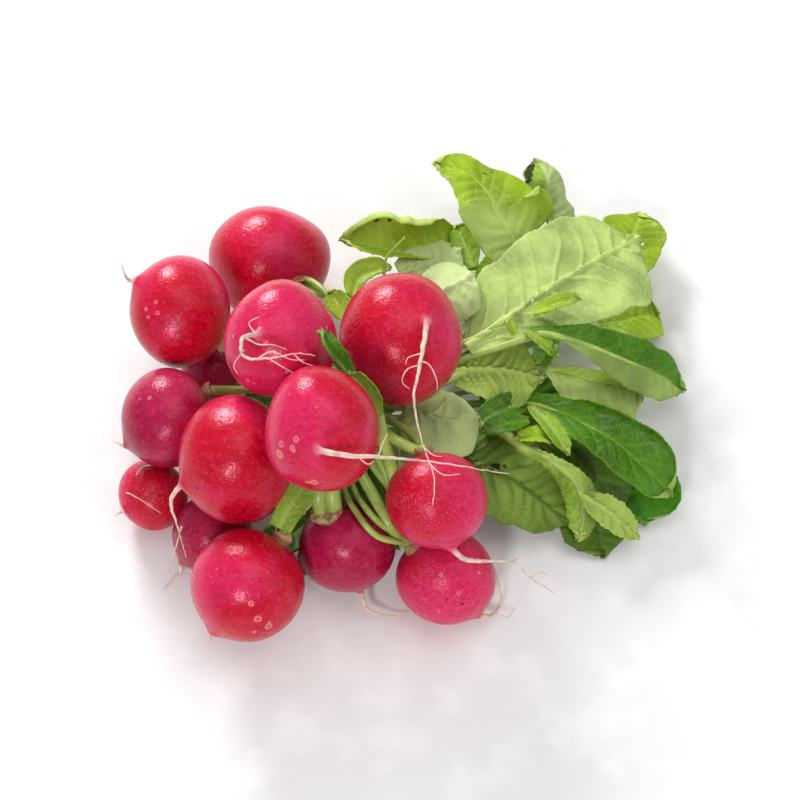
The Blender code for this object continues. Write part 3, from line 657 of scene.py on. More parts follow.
class Sheet:
    """The nodes of one material."""

    def __init__(self, name, roughness, **fixed):
        self.material = bpy.data.materials.new(name)
        self.material.use_nodes = True
        self.tree = self.material.node_tree
        self.shader = self.tree.nodes["Principled BSDF"]
        self.shader.inputs["Roughness"].default_value = roughness
        for socket, value in fixed.items():
            self.fill(self.shader.inputs[socket.replace("_", " ")], value)

    def node(self, kind, settings=None, output=0, **sockets):
        """Adds a node with its settings, then fills its sockets with values or links."""
        made = self.tree.nodes.new(kind)
        for key, value in (settings or {}).items():
            if key == "stops":
                ramp = made.color_ramp
                while len(ramp.elements) < len(value):
                    ramp.elements.new(0.5)
                for element, (place, colour) in zip(ramp.elements, value):
                    element.position = place
                    element.color = (*colour, 1.0)
            else:
                setattr(made, key, value)
        for key, value in sockets.items():
            target = made.inputs[int(key[1:])] if key[1:].isdigit() else made.inputs[key.replace("_", " ")]
            self.fill(target, value)
        return Signal(self, made.outputs[output])

    def fill(self, target, value):
        if isinstance(value, Signal):
            self.tree.links.new(value.socket, target)
        elif value is not None:
            target.default_value = (*value, 1.0) if target.type == "RGBA" and len(value) == 3 else value

    def maths(self, operation, a, b=None):
        return self.node("ShaderNodeMath", {"operation": operation}, i0=a, i1=b)

    def clamp(self, value, low=0.0, high=1.0):
        return self.node("ShaderNodeClamp", Value=value, Min=low, Max=high)

    def between(self, value, low, high):
        """0 below low, 1 above high, and smooth between them."""
        return self.node("ShaderNodeMapRange", {"interpolation_type": "SMOOTHSTEP"}, Value=value,
                         i1=low, i2=high, i3=0.0, i4=1.0)

    def mix(self, factor, a, b, blend="MIX"):
        made = self.tree.nodes.new("ShaderNodeMix")
        made.data_type, made.blend_type = "RGBA", blend
        self.fill(made.inputs[0], factor)
        self.fill(made.inputs[6], a)
        self.fill(made.inputs[7], b)
        return Signal(self, made.outputs[2])

    def place(self):
        return self.node("ShaderNodeTexCoord", output=3)

    def distance_to(self, place_mm):
        """How far each point is from a place on the bunch, in metres."""
        return self.node("ShaderNodeVectorMath", {"operation": "DISTANCE"}, output=1, i0=self.place(),
                         i1=tuple(to_frame(np.asarray(place_mm, float))))

    def painted(self, name):
        return self.node("ShaderNodeAttribute", {"attribute_name": name}, output=2)

    def noise(self, scale, detail=3.0, at=None, rough=0.5):
        return self.node("ShaderNodeTexNoise", Vector=at or self.place(), Scale=scale, Detail=detail,
                         Roughness=rough)

    def cells(self, scale, feature="F1", at=None, output=0, jitter=1.0):
        return self.node("ShaderNodeTexVoronoi", {"feature": feature}, output=output,
                         Vector=at or self.place(),
                         Scale=scale, Randomness=jitter)

    def stretched(self, scale):
        return self.node("ShaderNodeMapping", Vector=self.place(), Scale=scale)

    def finish(self, colour, roughness=None, height=None, strength=0.3, distance=0.0003):
        self.fill(self.shader.inputs["Base Color"], colour)
        if roughness is not None:
            self.fill(self.shader.inputs["Roughness"], roughness)
        if height is not None:
            bump = self.node("ShaderNodeBump", Height=height, Strength=strength, Distance=distance)
            self.fill(self.shader.inputs["Normal"], bump)
        return self.material


def radish_skin(name, red, rose, root, pallor, frost):
    """Red skin with a rosy bloom and a pebbled grain; it pales where the root starts."""
    sheet = Sheet(name, 0.30, Specular_IOR_Level=0.42, Specular_Tint=(1.0, 0.58, 0.70))
    reach = sheet.painted("reach")
    grain = sheet.noise(1600.0, 2.0)
    pebble = sheet.noise(720.0, 3.0)
    bloom = sheet.between(sheet.noise(42.0, 3.0), 0.38, 0.62) * (0.75 + pallor * 0.3) + pallor * 0.25
    colour = sheet.mix(sheet.clamp(bloom), red, rose)
    streaks = sheet.noise(1.0, 3.0, at=sheet.stretched((170.0, 620.0, 620.0)))
    colour = sheet.mix(sheet.between(streaks, 0.50, 0.72) * 0.30, colour, tuple(c * 0.40 for c in red))
    colour = sheet.mix(sheet.between(pebble, 0.50, 0.72) * 0.22, colour, (0.90, 0.06, 0.17))
    colour = sheet.mix((1 - sheet.between(pebble, 0.30, 0.47)) * 0.30, colour, tuple(c * 0.5 for c in red))
    colour = sheet.mix(sheet.between(grain, 0.56, 0.78) * (0.06 + frost * 0.3), colour, (0.85, 0.30, 0.36))
    dusting = sheet.between(sheet.noise(2600.0, 1.0), 0.60, 0.72) * sheet.between(sheet.noise(70.0, 3.0),
                                                                                  0.46, 0.66)
    colour = sheet.mix(dusting * (0.20 + frost * 0.3), colour, (0.85, 0.50, 0.50))
    dots = (1 - sheet.between(sheet.cells(290.0), 0.05, 0.10)) * sheet.between(sheet.noise(55.0, 1.0), 0.60,
                                                                               0.64)
    rings = sheet.cells(150.0)
    rings = (sheet.between(rings, 0.045, 0.065) * (1 - sheet.between(rings, 0.085, 0.12))
             * sheet.between(sheet.noise(40.0, 1.0), 0.60, 0.62))
    nick = 1 - sheet.between(sheet.cells(1.0, at=sheet.stretched((120.0, 380.0, 380.0))), 0.05, 0.12)
    scars = dots * 0.7 + rings + nick * sheet.between(sheet.noise(44.0, 1.0), 0.62, 0.65) * 0.8
    for place, size in scattered_marks(NICK_PATCHES, 11):
        off = sheet.distance_to(place) * (1 / (size * MM)) + (pebble - 0.5) * 0.8
        scars = scars + sheet.between(off, 0.25, 0.75) * (1 - sheet.between(off, 0.95, 1.35))
    scars = sheet.clamp(scars)
    colour = sheet.mix(scars * 0.5, colour, (0.85, 0.36, 0.32))
    dirt = (1 - sheet.between(sheet.cells(230.0), 0.03, 0.06)) * sheet.between(sheet.noise(50.0, 1.0), 0.58,
                                                                               0.61)
    for place, size in scattered_marks(SPECK_PATCHES, 12):
        off = sheet.distance_to(place) * (1 / (size * MM)) + (grain - 0.5) * 1.5
        dirt = dirt + (1 - sheet.between(off, 0.6, 1.2))
    colour = sheet.mix(sheet.clamp(dirt) * 0.85, colour, (0.06, 0.01, 0.01))
    wander = sheet.noise(420.0, 2.0) * 0.05
    colour = sheet.mix(sheet.between(reach + wander, 0.985, 1.06) * 0.8, colour, (0.80, 0.26, 0.36))
    whiter = sheet.between(reach + wander, 1.035, 1.10)
    root_colour = sheet.mix(sheet.between(sheet.noise(520.0, 3.0), 0.42, 0.68), root,
                            tuple(c * 0.66 for c in root))
    colour = sheet.mix(whiter, colour, root_colour)
    crown = 1 - sheet.between(reach + sheet.noise(260.0, 2.0) * 0.05, 0.045, 0.085)
    husk = sheet.mix(sheet.between(sheet.noise(330.0, 2.0), 0.40, 0.64), (0.38, 0.32, 0.12),
                     (0.42, 0.17, 0.13))
    colour = sheet.mix(crown * 0.9, colour, husk)
    height = grain * 0.6 + pebble * 1.1 + streaks * 0.5 - scars * 0.6
    rough = whiter * 0.3 + sheet.between(streaks, 0.4, 0.7) * 0.08 + 0.21 + frost * 0.12
    return sheet.finish(colour, rough, height, 0.50, 0.00027)


def leaf_face(name, base, vein, underside, shine, netting=1.0):
    """One face of a blade: veins, their fine net, and blotches between them."""
    sheet = Sheet(name, shine, Specular_IOR_Level=0.22)
    ribs = sheet.painted("ribs")
    edge = sheet.painted("edge")
    blotch = sheet.noise(90.0, 3.0)
    fine = sheet.noise(700.0, 2.0)
    darker = tuple(c * 0.66 for c in base)
    lighter = tuple(min(1.0, c * 1.22 + 0.015) for c in base)
    colour = sheet.mix(sheet.between(blotch, 0.36, 0.66), darker, base)
    colour = sheet.mix(sheet.between(sheet.noise(38.0, 1.0), 0.48, 0.70) * 0.7, colour, lighter)
    net = 1 - sheet.between(sheet.cells(420.0, "DISTANCE_TO_EDGE"), 0.02, 0.10)
    wide_net = 1 - sheet.between(sheet.cells(170.0, "DISTANCE_TO_EDGE"), 0.012, 0.05)
    mesh_lines = sheet.clamp(net * 0.45 + wide_net * 0.55)
    colour = sheet.mix(mesh_lines * ((0.30 if underside else 0.34) * netting), colour,
                       tuple(c * 0.62 for c in base) if underside else vein)
    colour = sheet.mix(sheet.clamp(ribs * 1.1) * (0.9 if underside else 0.55), colour, vein)
    colour = sheet.mix(sheet.between(edge, 0.92, 1.0) * 0.25, colour, vein)
    speck = (1 - sheet.between(sheet.cells(330.0), 0.03, 0.08)) * sheet.between(sheet.noise(45.0, 1.0), 0.64,
                                                                                0.70)
    colour = sheet.mix(speck * 0.8, colour, (0.035, 0.035, 0.015))
    # painted light: a paler green painted where the blade should look lit
    colour = sheet.mix(sheet.between(sheet.painted("faded"), 0.0, 0.9) * 0.75, colour, (0.47, 0.62, 0.17))
    rot = sheet.between(sheet.painted("decay") + sheet.noise(420.0, 3.0) - 0.5, 0.45, 0.62)
    colour = sheet.mix(rot * 0.92, colour, (0.022, 0.020, 0.008))
    height = mesh_lines * ((0.5 if underside else -0.5) * netting) + fine * 0.25
    return sheet.finish(colour, None, height, 0.35 * netting, 0.0003)


def stalk_skin(name, base):
    """Juicy stalk: pale green with faint darker patches and a soft gloss."""
    sheet = Sheet(name, 0.30, Specular_IOR_Level=0.40)
    patches = sheet.noise(110.0, 3.0)
    fine = sheet.noise(900.0, 2.0)
    colour = sheet.mix(sheet.between(patches, 0.34, 0.62), tuple(c * 0.62 for c in base), base)
    colour = sheet.mix(sheet.between(sheet.noise(210.0, 2.0), 0.50, 0.75) * 0.5, colour,
                       tuple(min(1.0, c * 1.3 + 0.05) for c in base))
    return sheet.finish(colour, None, fine, 0.15, 0.0002)


def husk_skin(name):
    """Dry husk: brown and green fibres with a little red between them."""
    sheet = Sheet(name, 0.6, Specular_IOR_Level=0.25)
    fibres = sheet.noise(1.0, 3.0, at=sheet.stretched((900.0, 900.0, 260.0)))
    colour = sheet.mix(sheet.between(fibres, 0.36, 0.60), (0.20, 0.10, 0.045), (0.44, 0.36, 0.16))
    colour = sheet.mix(sheet.between(sheet.noise(300.0, 2.0), 0.48, 0.66) * 0.7, colour, (0.46, 0.13, 0.12))
    return sheet.finish(colour, None, fibres, 0.6, 0.0005)


def plain_material(name, base, roughness, grain=500.0, strength=0.1):
    sheet = Sheet(name, roughness)
    noise = sheet.noise(grain, 2.0)
    colour = sheet.mix(sheet.between(noise, 0.4, 0.7), tuple(c * 0.92 for c in base), base)
    return sheet.finish(colour, None, noise, strength, 0.0002)


# Pieces.

def globe_axes(root_way):
    """A radish's own axes: two across it and one towards its root."""
    way = unit(root_way)
    side = unit(np.cross(way, SIDE_HINT))
    return side, np.cross(way, side), way


def shape_globe(mesh, row, oval, settings, lump_seed):
    """Shapes a unit sphere into a globe; gives each point's share of the way from crown to root."""
    centre, radius, root_way, *_ = row
    side, third, way = globe_axes(root_way)
    points = mesh_points(mesh)
    lumps = np.random.default_rng(lump_seed).uniform(-1, 1, (5, 4))
    angle = np.arccos(np.clip(points[:, 2], -1, 1))
    turn = np.arctan2(points[:, 1], points[:, 0])
    angle = angle ** 1.12 / math.pi ** 0.12
    across, along = np.sin(angle), np.cos(angle)
    along = np.where(along < 0, along * CROWN_REACH, along)
    across = np.sign(across) * np.abs(across) ** 0.93
    dimple = 0.05 * np.exp(-((math.pi - angle) / 0.20) ** 2)
    neck = settings.neck * np.exp(-(angle / 0.17) ** 1.5)
    swell = sum(a * np.cos(k * turn + 3 * b) * np.sin(angle) ** k * np.cos(c * angle)
                for k, (a, b, c, _) in enumerate(lumps, 1))
    reach = radius * (1 + settings.unevenness / MM / radius * swell)
    local = np.column_stack([np.cos(turn) * across, np.sin(turn) * across, along + neck + dimple])
    local = (local[:, :1] * side + local[:, 1:2] * third + local[:, 2:] * way) * reach[:, None]
    set_mesh_points(mesh, to_frame(np.asarray(centre, float) + drawn_out(local, oval)))
    return 1 - angle / math.pi, int(np.argmax(points[:, 2]))


def open_pole(shape, pole):
    """Takes the point out of a globe's end, and gives the face left in its place."""
    rim = len(pole.link_edges)
    bmesh.ops.dissolve_verts(shape, verts=[pole])
    return next(face for face in shape.faces if len(face.verts) == rim)


def turns_round(face, middle, side, third):
    """How far round its globe's axis each point of a face lies."""
    offs = [np.array(vert.co) / MM - BUNCH_SHIFT - middle for vert in face.verts]
    return [math.atan2(off @ third, off @ side) for off in offs]


def draw_root(shape, layer, face, row, oval, settings, lump_seed):
    """Draws the tapering tap root out of a globe's end."""
    centre, radius, root_way, root_points, _ = row
    side, third, way = globe_axes(root_way)
    middle = np.asarray(centre, float)
    base = middle + drawn_out(way * radius * (1.0 + settings.neck * 0.86), oval)
    root = smooth_path([base, *root_points], 8 + 9 * len(root_points))
    ways, sides = carried_frames(root, side)
    turns = turns_round(face, middle, side, third)
    count = len(root)
    wander = np.random.default_rng(lump_seed + 50).uniform(-1, 1, (count, 3))
    for i in range(1, count):
        face = bmesh.ops.extrude_discrete_faces(shape, faces=[face])["faces"][0]
        part = i / (count - 1)
        girth = settings.root_radius / MM * (0.15 + 0.85 * (1 - part) ** 2.0) * (1 + 0.12 * wander[i, 0])
        if i == count - 1:
            girth *= 0.35
        cross = np.cross(ways[i], sides[i])
        heart = root[i] + (sides[i] * wander[i, 1] + cross * wander[i, 2]) * 0.16
        for vert, turned in zip(face.verts, turns):
            place = heart + girth * (math.cos(turned) * sides[i] + math.sin(turned) * cross)
            place[2] = max(place[2], ROOT_LOWEST)
            vert.co = to_frame(place)
            vert[layer] = 1.0 + part
    bmesh.ops.poke(shape, faces=[face])


def raise_cup(shape, layer, face, row, oval, lump_seed):
    """Raises the scalloped cup of husk round a globe's crown."""
    centre, radius, root_way, *_ = row
    side, third, way = globe_axes(root_way)
    middle = np.asarray(centre, float)
    crown = middle - drawn_out(way * radius * CROWN_REACH, oval)
    turns = turns_round(face, middle, side, third)
    cup = CUP_SHARE * radius
    for height, girth in CUP_RINGS:
        face = bmesh.ops.extrude_discrete_faces(shape, faces=[face])["faces"][0]
        for vert, turned in zip(face.verts, turns):
            scallop = 0.22 * math.sin(3 * turned + lump_seed) + 0.12 * math.sin(7 * turned + lump_seed * 2)
            rise = height * (1 + scallop) * cup - 0.6
            place = crown - way * rise + girth * cup * (math.cos(turned) * side + math.sin(turned) * third)
            vert.co = to_frame(place)
            vert[layer] = 0.0
    bmesh.ops.poke(shape, faces=[face])


def root_hairs(name, skin):
    """The fine side roots of one radish."""
    hairs = []
    for points in ROOT_HAIRS.get(name, ()):
        path = smooth_path(points, 6 * len(points))
        hair = tube(f"{name}_hair", path, np.linspace(*HAIR_RADII, len(path)), skin, 1)
        paint(hair.data, "reach", np.full(len(hair.data.vertices), 1.5))
        hairs.append(hair)
    return hairs


def grow_radish(name, row, settings, skins, lump_seed):
    """A globe with its root and the cup at its crown, all one skin, and its side roots."""
    oval = OVALS.get(name, (1, 1))
    bpy.ops.mesh.primitive_uv_sphere_add(segments=40, ring_count=30, radius=1.0)
    obj = bpy.context.object
    mesh = obj.data
    share, tip = shape_globe(mesh, row, oval, settings, lump_seed)
    shape = bmesh.new()
    shape.from_mesh(mesh)
    layer = shape.verts.layers.float.new("reach")
    shape.verts.ensure_lookup_table()
    for vert, value in zip(shape.verts, share):
        vert[layer] = value
    draw_root(shape, layer, open_pole(shape, shape.verts[tip]), row, oval, settings, lump_seed)
    shape.verts.ensure_lookup_table()
    bottom = min(shape.verts, key=lambda vert: vert[layer])
    raise_cup(shape, layer, open_pole(shape, bottom), row, oval, lump_seed)
    bmesh.ops.recalc_face_normals(shape, faces=shape.faces)
    shape.to_mesh(mesh)
    shape.free()
    smooth = obj.modifiers.new("smooth", "SUBSURF")
    smooth.levels = smooth.render_levels = 1
    apply_modifiers(obj)
    points = mesh_points(mesh)
    points[:, 2] = np.maximum(points[:, 2], 0.0)
    set_mesh_points(mesh, points)
    make_active(obj)
    bpy.ops.object.shade_smooth()
    skin = skins[row[-1]]
    mesh.materials.append(skin)
    hairs = root_hairs(name, skin)
    if hairs:
        make_active(obj, *hairs)
        bpy.ops.object.join()
    return finish_piece(obj, name.replace("radish", "red_radish"), name)


class MESH_OT_radishes(Operator):
    """Grow the radish globes with their tap roots"""
    bl_idname = "mesh.grow_radishes"
    bl_label = "Radishes"

    def execute(self, context):
        settings = context.scene.radish_settings
        red, root = tuple(settings.skin), tuple(settings.root)
        rose = tuple(settings.bloom)
        plum = tuple(k * c for k, c in zip(PLUM_SHARES, red))
        skins = {
            "red": radish_skin("radish_skin_red", red, rose, root, 0.0, 0.0),
            "plum": radish_skin("radish_skin_plum", plum, tuple(c * PLUM_ROSE_SHARE for c in rose), root,
                                0.25, 0.15),
            "frosted": radish_skin("radish_skin_frosted", red, rose, root, 0.30, 0.7),
        }
        for number, (name, row) in enumerate(RADISHES.items()):
            clear_selection()
            grow_radish(name, row, settings, skins, 7 + number)
        return {"FINISHED"}


def read_curve(values, share):
    """A smooth curve through evenly spaced values, read at each share of its length."""
    values = np.asarray(values, float)
    slopes = np.gradient(values)
    place = np.clip(share, 0, 1) * (len(values) - 1)
    k = np.minimum(place.astype(int), len(values) - 2)
    t = place - k
    return ((2 * t**3 - 3 * t**2 + 1) * values[k] + (t**3 - 2 * t**2 + t) * slopes[k]
            + (3 * t**2 - 2 * t**3) * values[k + 1] + (t**3 - t**2) * slopes[k + 1])


def blade_width(share, widths, length, teeth, uneven, seed):
    """Half width along a blade: its outline, a round tip, uneven lobes, and teeth at the edge."""
    rng = np.random.default_rng(seed)
    round_tip = min(0.22, 0.8 * widths[-1] / length)
    past = np.clip((share - 1 + round_tip) / round_tip, 0, 1)
    width = read_curve(widths, share) * np.sqrt(1 - past**2)
    uneven = uneven * np.interp(share, np.linspace(0, 1, 15), rng.uniform(-0.06, 0.06, 15))
    place = share * length / 2.2 + 0.35 * np.sin(share * 11 + rng.uniform(0, 6))
    depth = np.interp(share, np.linspace(0, 1, 11), rng.uniform(0.4, 1.2, 11))
    bite = teeth * depth * ((place % 1.0) ** 1.3 - 0.5)
    return np.maximum(width * (1 + uneven) + bite * np.clip(width / 4, 0, 1) ** 0.5, 0.0)


def paint_patches(mesh, spec, along, across, length, widest):
    """Paints where a blade has decayed, and the paler green painted on it as light."""
    for patch in ("decay", "faded"):
        depth = np.zeros(len(along))
        for spot_along, spot_across, size in spec[patch]:
            off = np.hypot((along - spot_along) * length, (across - spot_across) * widest)
            depth = np.maximum(depth, np.clip(1.4 - off / size, 0, 1))
        if spec[patch]:
            paint(mesh, patch, depth)


def weigh_flesh(obj, thick):
    flesh = obj.vertex_groups.new(name="flesh")
    for index, weight in enumerate(thick):
        flesh.add([index], float(weight), "REPLACE")


def cut_blade(mesh, spec, along, across, length, widest):
    """Bites the ragged holes out of a blade, and turns its pale half's faces to their pale side."""
    shape = bmesh.new()
    shape.from_mesh(mesh)
    shape.faces.ensure_lookup_table()
    centres = [(np.mean([along[v.index] for v in f.verts]), np.mean([across[v.index] for v in f.verts]))
               for f in shape.faces]
    eaten = []
    for hole_along, hole_across, size in spec["holes"]:
        for face, (face_along, face_across) in zip(shape.faces, centres):
            da, dc = (face_along - hole_along) * length, (face_across - hole_across) * widest
            ragged = size * (1 + 0.35 * math.sin(3 * math.atan2(da, dc) + hole_along * 40))
            if math.hypot(da, dc * 1.3) < ragged:
                eaten.append(face)
    if spec["pale"]:
        for face, (_, face_across) in zip(shape.faces, centres):
            face.material_index = int((face_across > 0) == (spec["pale"] == "right"))
    bmesh.ops.delete(shape, geom=list(dict.fromkeys(eaten)), context="FACES")
    bmesh.ops.remove_doubles(shape, verts=shape.verts, dist=0.00003)
    shape.to_mesh(mesh)
    shape.free()


def thicken(obj, settings, lift):
    """Gives a blade its flesh, with the underside's look on its other face."""
    shell = obj.modifiers.new("flesh", "SOLIDIFY")
    shell.thickness = settings.thickness / THINNEST
    shell.offset = -1.0
    shell.vertex_group = "flesh"
    shell.material_offset = 1
    shell.material_offset_rim = int(lift < 0)
    apply_modifiers(obj)
    bpy.ops.object.shade_smooth()


def grow_blade(spec, settings, materials, seed):
    """A blade from a grid: folded, curled, waved and veined, with its flesh on the underside."""
    line = smooth_path(spec["rib"], 200)
    length = np.linalg.norm(np.diff(line, axis=0), axis=1).sum()
    widest = max(*spec["left"], *spec["right"])
    rows = int(np.clip(settings.rows * length / 70, 24, 130))
    columns = int(np.clip(settings.columns * widest / 14, 12, 60)) // 2 * 2
    bpy.ops.mesh.primitive_grid_add(x_subdivisions=columns, y_subdivisions=rows, size=2.0)
    obj = bpy.context.object
    mesh = obj.data
    flat = mesh_points(mesh)
    q, s = flat[:, 0], (flat[:, 1] + 1) / 2
    rng = np.random.default_rng(seed)
    chord = unit(line[60] - line[0])
    level = unit(np.cross(chord, (0.0, 0.0, 1.0)))
    above = np.cross(level, chord)
    turn = math.radians(spec["roll"])
    side = level * math.cos(turn) + above * math.sin(turn)
    rib = resample(line, rows + 1)
    ways, sides = carried_frames(rib, side)
    ups = np.cross(sides, ways)
    row_of = np.clip(np.round(s * rows).astype(int), 0, rows)
    phases = rng.uniform(0, 2 * math.pi, 8)
    out = np.abs(q)
    rightward = (q > 0) if math.cos(turn) > 0 else (q < 0)
    lift = 1 if math.cos(turn) > 0 else -1

    def by_half(pair):
        return np.where(rightward, pair[1], pair[0])

    width = by_half((blade_width(s, spec["left"], length, spec["teeth"], spec["relief"], seed),
                     blade_width(s, spec["right"], length, spec["teeth"], spec["relief"], seed + 1)))
    fold, curl = np.radians(by_half(spec["folds"])) * lift, np.radians(by_half(spec["curls"])) * lift
    opening = np.clip(s * 2.5, 0.3, 1.0)
    x, y = np.zeros(len(q)), np.zeros(len(q))
    for k in range(24):
        angle = (fold * np.clip((k + 1) * out, 0, 1) + curl * ((k + 0.5) / 24 * out) ** 3) * opening
        x += np.cos(angle) * out / 24
        y += np.sin(angle) * out / 24
    x, y = x * np.sign(q) * width, y * width
    veins = spec["veins"]
    phase = (s - 0.27 * out * (1 - 0.3 * out) + 0.03 * np.sin(s * 14 + phases[2])) * veins + by_half((0.5,
                                                                                                      0.0))
    off_vein = np.abs(phase - np.round(phase)) * length / veins
    vein = np.exp(-(off_vein / (0.44 - 0.18 * out)) ** 2) * np.clip(1.25 - out, 0, 1) * np.clip(s * 8, 0, 1)
    branch = (phase * 2 + out * 1.7 + by_half((0.2, 0.7)))
    twig = np.exp(-(np.abs(branch - np.round(branch))
                    * length / veins / 2 / 0.22) ** 2) * np.clip(out * 2 - 0.5, 0, 1)
    vein = np.maximum(vein, twig * 0.45 * np.clip(s * 8, 0, 1))
    middle = np.exp(-((out * width) / (0.65 * (1 - s) + 0.25)) ** 2)
    ribs = np.clip(np.maximum(vein * 0.85, middle), 0, 1)
    quilt = 0.5 - 0.5 * np.cos(phase * 2 * math.pi)
    relief = (-0.26 * vein + 0.30 * quilt * np.sin(math.pi * np.clip(out, 0,
                                                                     1)) - 0.40 * middle) * spec["relief"]
    ribs *= spec["relief"] ** 0.5
    ruffle = spec["wave"] * out**2 * np.clip(s * 3, 0, 1) * (
        np.sin(s * length / 7.0 + phases[0] + by_half((0, 2.1)))
        + 0.55 * np.sin(s * length / 3.4 + phases[1] + by_half((1.3, 0)))
        + 0.30 * np.sin(s * length / 1.9 + phases[3] + out * 2))
    bumps = 0.35 * spec["relief"] * np.sin(s * length / 3.1 + phases[4]) * np.sin(x / 2.4 + phases[5])
    draw_back = 0.09 * length * out**2 * (s - 0.3) * np.clip(s * 3, 0, 1)
    placed = (rib[row_of] + sides[row_of] * x[:, None] + ups[row_of]
              * (y + relief + ruffle * 0.55 + bumps)[:, None]
              - ways[row_of] * draw_back[:, None])
    placed[:, 2] = np.maximum(placed[:, 2], BLADE_LOWEST)
    set_mesh_points(mesh, to_frame(placed))
    paint(mesh, "ribs", ribs)
    paint(mesh, "edge", out)
    paint_patches(mesh, spec, s, q * lift, length, widest)
    thick = np.clip(THINNEST + 0.28 * vein + 0.45 * middle * (1 - 0.6 * s), 0, 1)
    weigh_flesh(obj, thick)
    for material in materials:
        mesh.materials.append(material)
    cut_blade(mesh, spec, s, q, length, widest)
    thicken(obj, settings, lift)
    return obj, rib, ups


def leaf_spec(name):
    tint, roll, rib, left, right, folds, curls, wave, teeth, pale = BLADES[name]
    seed_leaf = tint == "seed"
    return dict(rib=rib, left=left, right=right, roll=roll, folds=folds, curls=curls, wave=wave, teeth=teeth,
                pale=pale, veins=SEED_VEINS if seed_leaf else VEINS, relief=0.12 if seed_leaf else 1.0,
                holes=HOLES.get(name, ()), decay=DECAY.get(name, ()),
                faded=PAINTED_LIGHT.get(name, ()))


def lobe_spec(base, tip, half_width, arch, roll, teeth):
    base, tip = np.asarray(base, float), np.asarray(tip, float)
    widths = tuple(half_width * k for k in (0.3, 0.75, 1.0, 1.0, 0.85, 0.55))
    return dict(rib=[base, (base + tip) / 2 + (0, 0, arch), tip], left=widths, right=widths, roll=roll,
                folds=(18, 14), curls=(15, 22), wave=0.5, teeth=teeth, pale=None, veins=SEED_VEINS,
                relief=0.7, holes=(), decay=(), faded=())


class MESH_OT_leaves(Operator):
    """Grow the leaves, each with its stalk and the small lobes along it"""
    bl_idname = "mesh.grow_radish_leaves"
    bl_label = "Leaves"

    def execute(self, context):
        settings = context.scene.radish_leaf_settings
        faces = {}
        for tint, (upper, under, vein) in TINTS.items():
            netting = 0.3 if tint == "seed" else 1.0
            faces[tint] = (leaf_face(f"leaf_upper_{tint}", upper, vein, False, 0.38, netting),
                           leaf_face(f"leaf_under_{tint}", under, vein, True, 0.55, netting))
        stalk_look = stalk_skin("leaf_stalk", tuple(settings.stalk))
        places = band_places()
        for number, (name, stalk) in enumerate(push_apart(first_stalks(places), places).items()):
            clear_selection()
            spec = leaf_spec(name)
            blade, rib, ups = grow_blade(spec, settings, faces[BLADES[name][0]], 100 + number)
            sunk = 1.1 if BLADES[name][1] == 0 and BLADES[name][-1] is None else 0.5
            under_rib = rib - ups * sunk
            run = int(len(rib) * 0.9)
            path = resample(np.vstack([stalk[:-4], under_rib[3:run]]), 96)
            for _ in range(12):
                path[1:-1] = (path[:-2] + path[1:-1] * 2 + path[2:]) / 4
            share = np.linspace(0, 1, len(path))
            stalk_length = np.linalg.norm(np.diff(stalk, axis=0), axis=1).sum()
            total = np.linalg.norm(np.diff(path, axis=0), axis=1).sum()
            into = np.clip((share * total - stalk_length) / (total - stalk_length), 0, 1)
            radii = (1.2 + 0.5 * np.exp(-share * total / 4)) * (1 - 0.85 * into**1.1)
            radii *= np.interp(max(spec["left"]), (4, 18), (0.72, 1.25))
            parts = [blade, tube(f"{name}_stalk", path, radii, stalk_look)]
            for count, (base, tip, half_width, arch, roll, tint, teeth) in enumerate(LOBES.get(name, ())):
                clear_selection()
                lobe, *_ = grow_blade(lobe_spec(base, tip, half_width, arch, roll, teeth), settings,
                                      faces[tint],
                                      300 + 10 * number + count)
                parts.append(lobe)
            make_active(*parts)
            bpy.ops.object.join()
            finish_piece(bpy.context.object, name.replace("leaf", "radish_leaf"), name)
        return {"FINISHED"}


class MESH_OT_spare_stalks(Operator):
    """Lay the further stalks that run from the crowns to under the bunch"""
    bl_idname = "mesh.lay_spare_stalks"
    bl_label = "Spare stalks"

    def execute(self, context):
        look = stalk_skin("spare_stalk", tuple(context.scene.radish_leaf_settings.stalk))
        husk_look = husk_skin("dry_husk")
        for name, stalks in SPARE_STALKS.items():
            centre, radius, root_way, *_ = RADISHES[name]
            crown = np.asarray(centre, float) - drawn_out(unit(root_way) * radius * CROWN_REACH,
                                                          OVALS.get(name, (1, 1)))
            start = [] if name == "radish_10" else [crown - unit(root_way) * 0.3]
            tubes = []
            for points, thick in stalks:
                path = resample(smooth_path([*start, *points], 40), 40)
                taper = np.linspace(1.15, 0.75, 40)
                if name == "radish_01":
                    taper = np.linspace(1.2, 0.35, 40)
                tubes.append(tube(f"{name}_stalk", path, thick * taper, look))
            if name in HUSKS:
                points, radii = HUSKS[name]
                tubes.append(tube(f"{name}_husk", smooth_path(points, 9),
                                  read_curve(radii, np.linspace(0, 1, 9)),
                                  husk_look))
            make_active(*tubes)
            if len(tubes) > 1:
                bpy.ops.object.join()
            finish_piece(bpy.context.object, name.replace("radish", "spare_stalks"), None)
        return {"FINISHED"}


class MESH_OT_spare_leaves(Operator):
    """Lay the small leaves without a stalk of their own that fill the hollows of the bunch"""
    bl_idname = "mesh.lay_spare_leaves"
    bl_label = "Spare leaves"

    def execute(self, context):
        settings = context.scene.radish_leaf_settings
        for number, name in enumerate(name for name in BLADES if name.startswith("spare")):
            clear_selection()
            tint = BLADES[name][0]
            faces = [bpy.data.materials[f"leaf_{side}_{tint}"] for side in ("upper", "under")]
            blade, *_ = grow_blade(leaf_spec(name), settings, faces, 500 + number)
            finish_piece(blade, name, None)
        return {"FINISHED"}


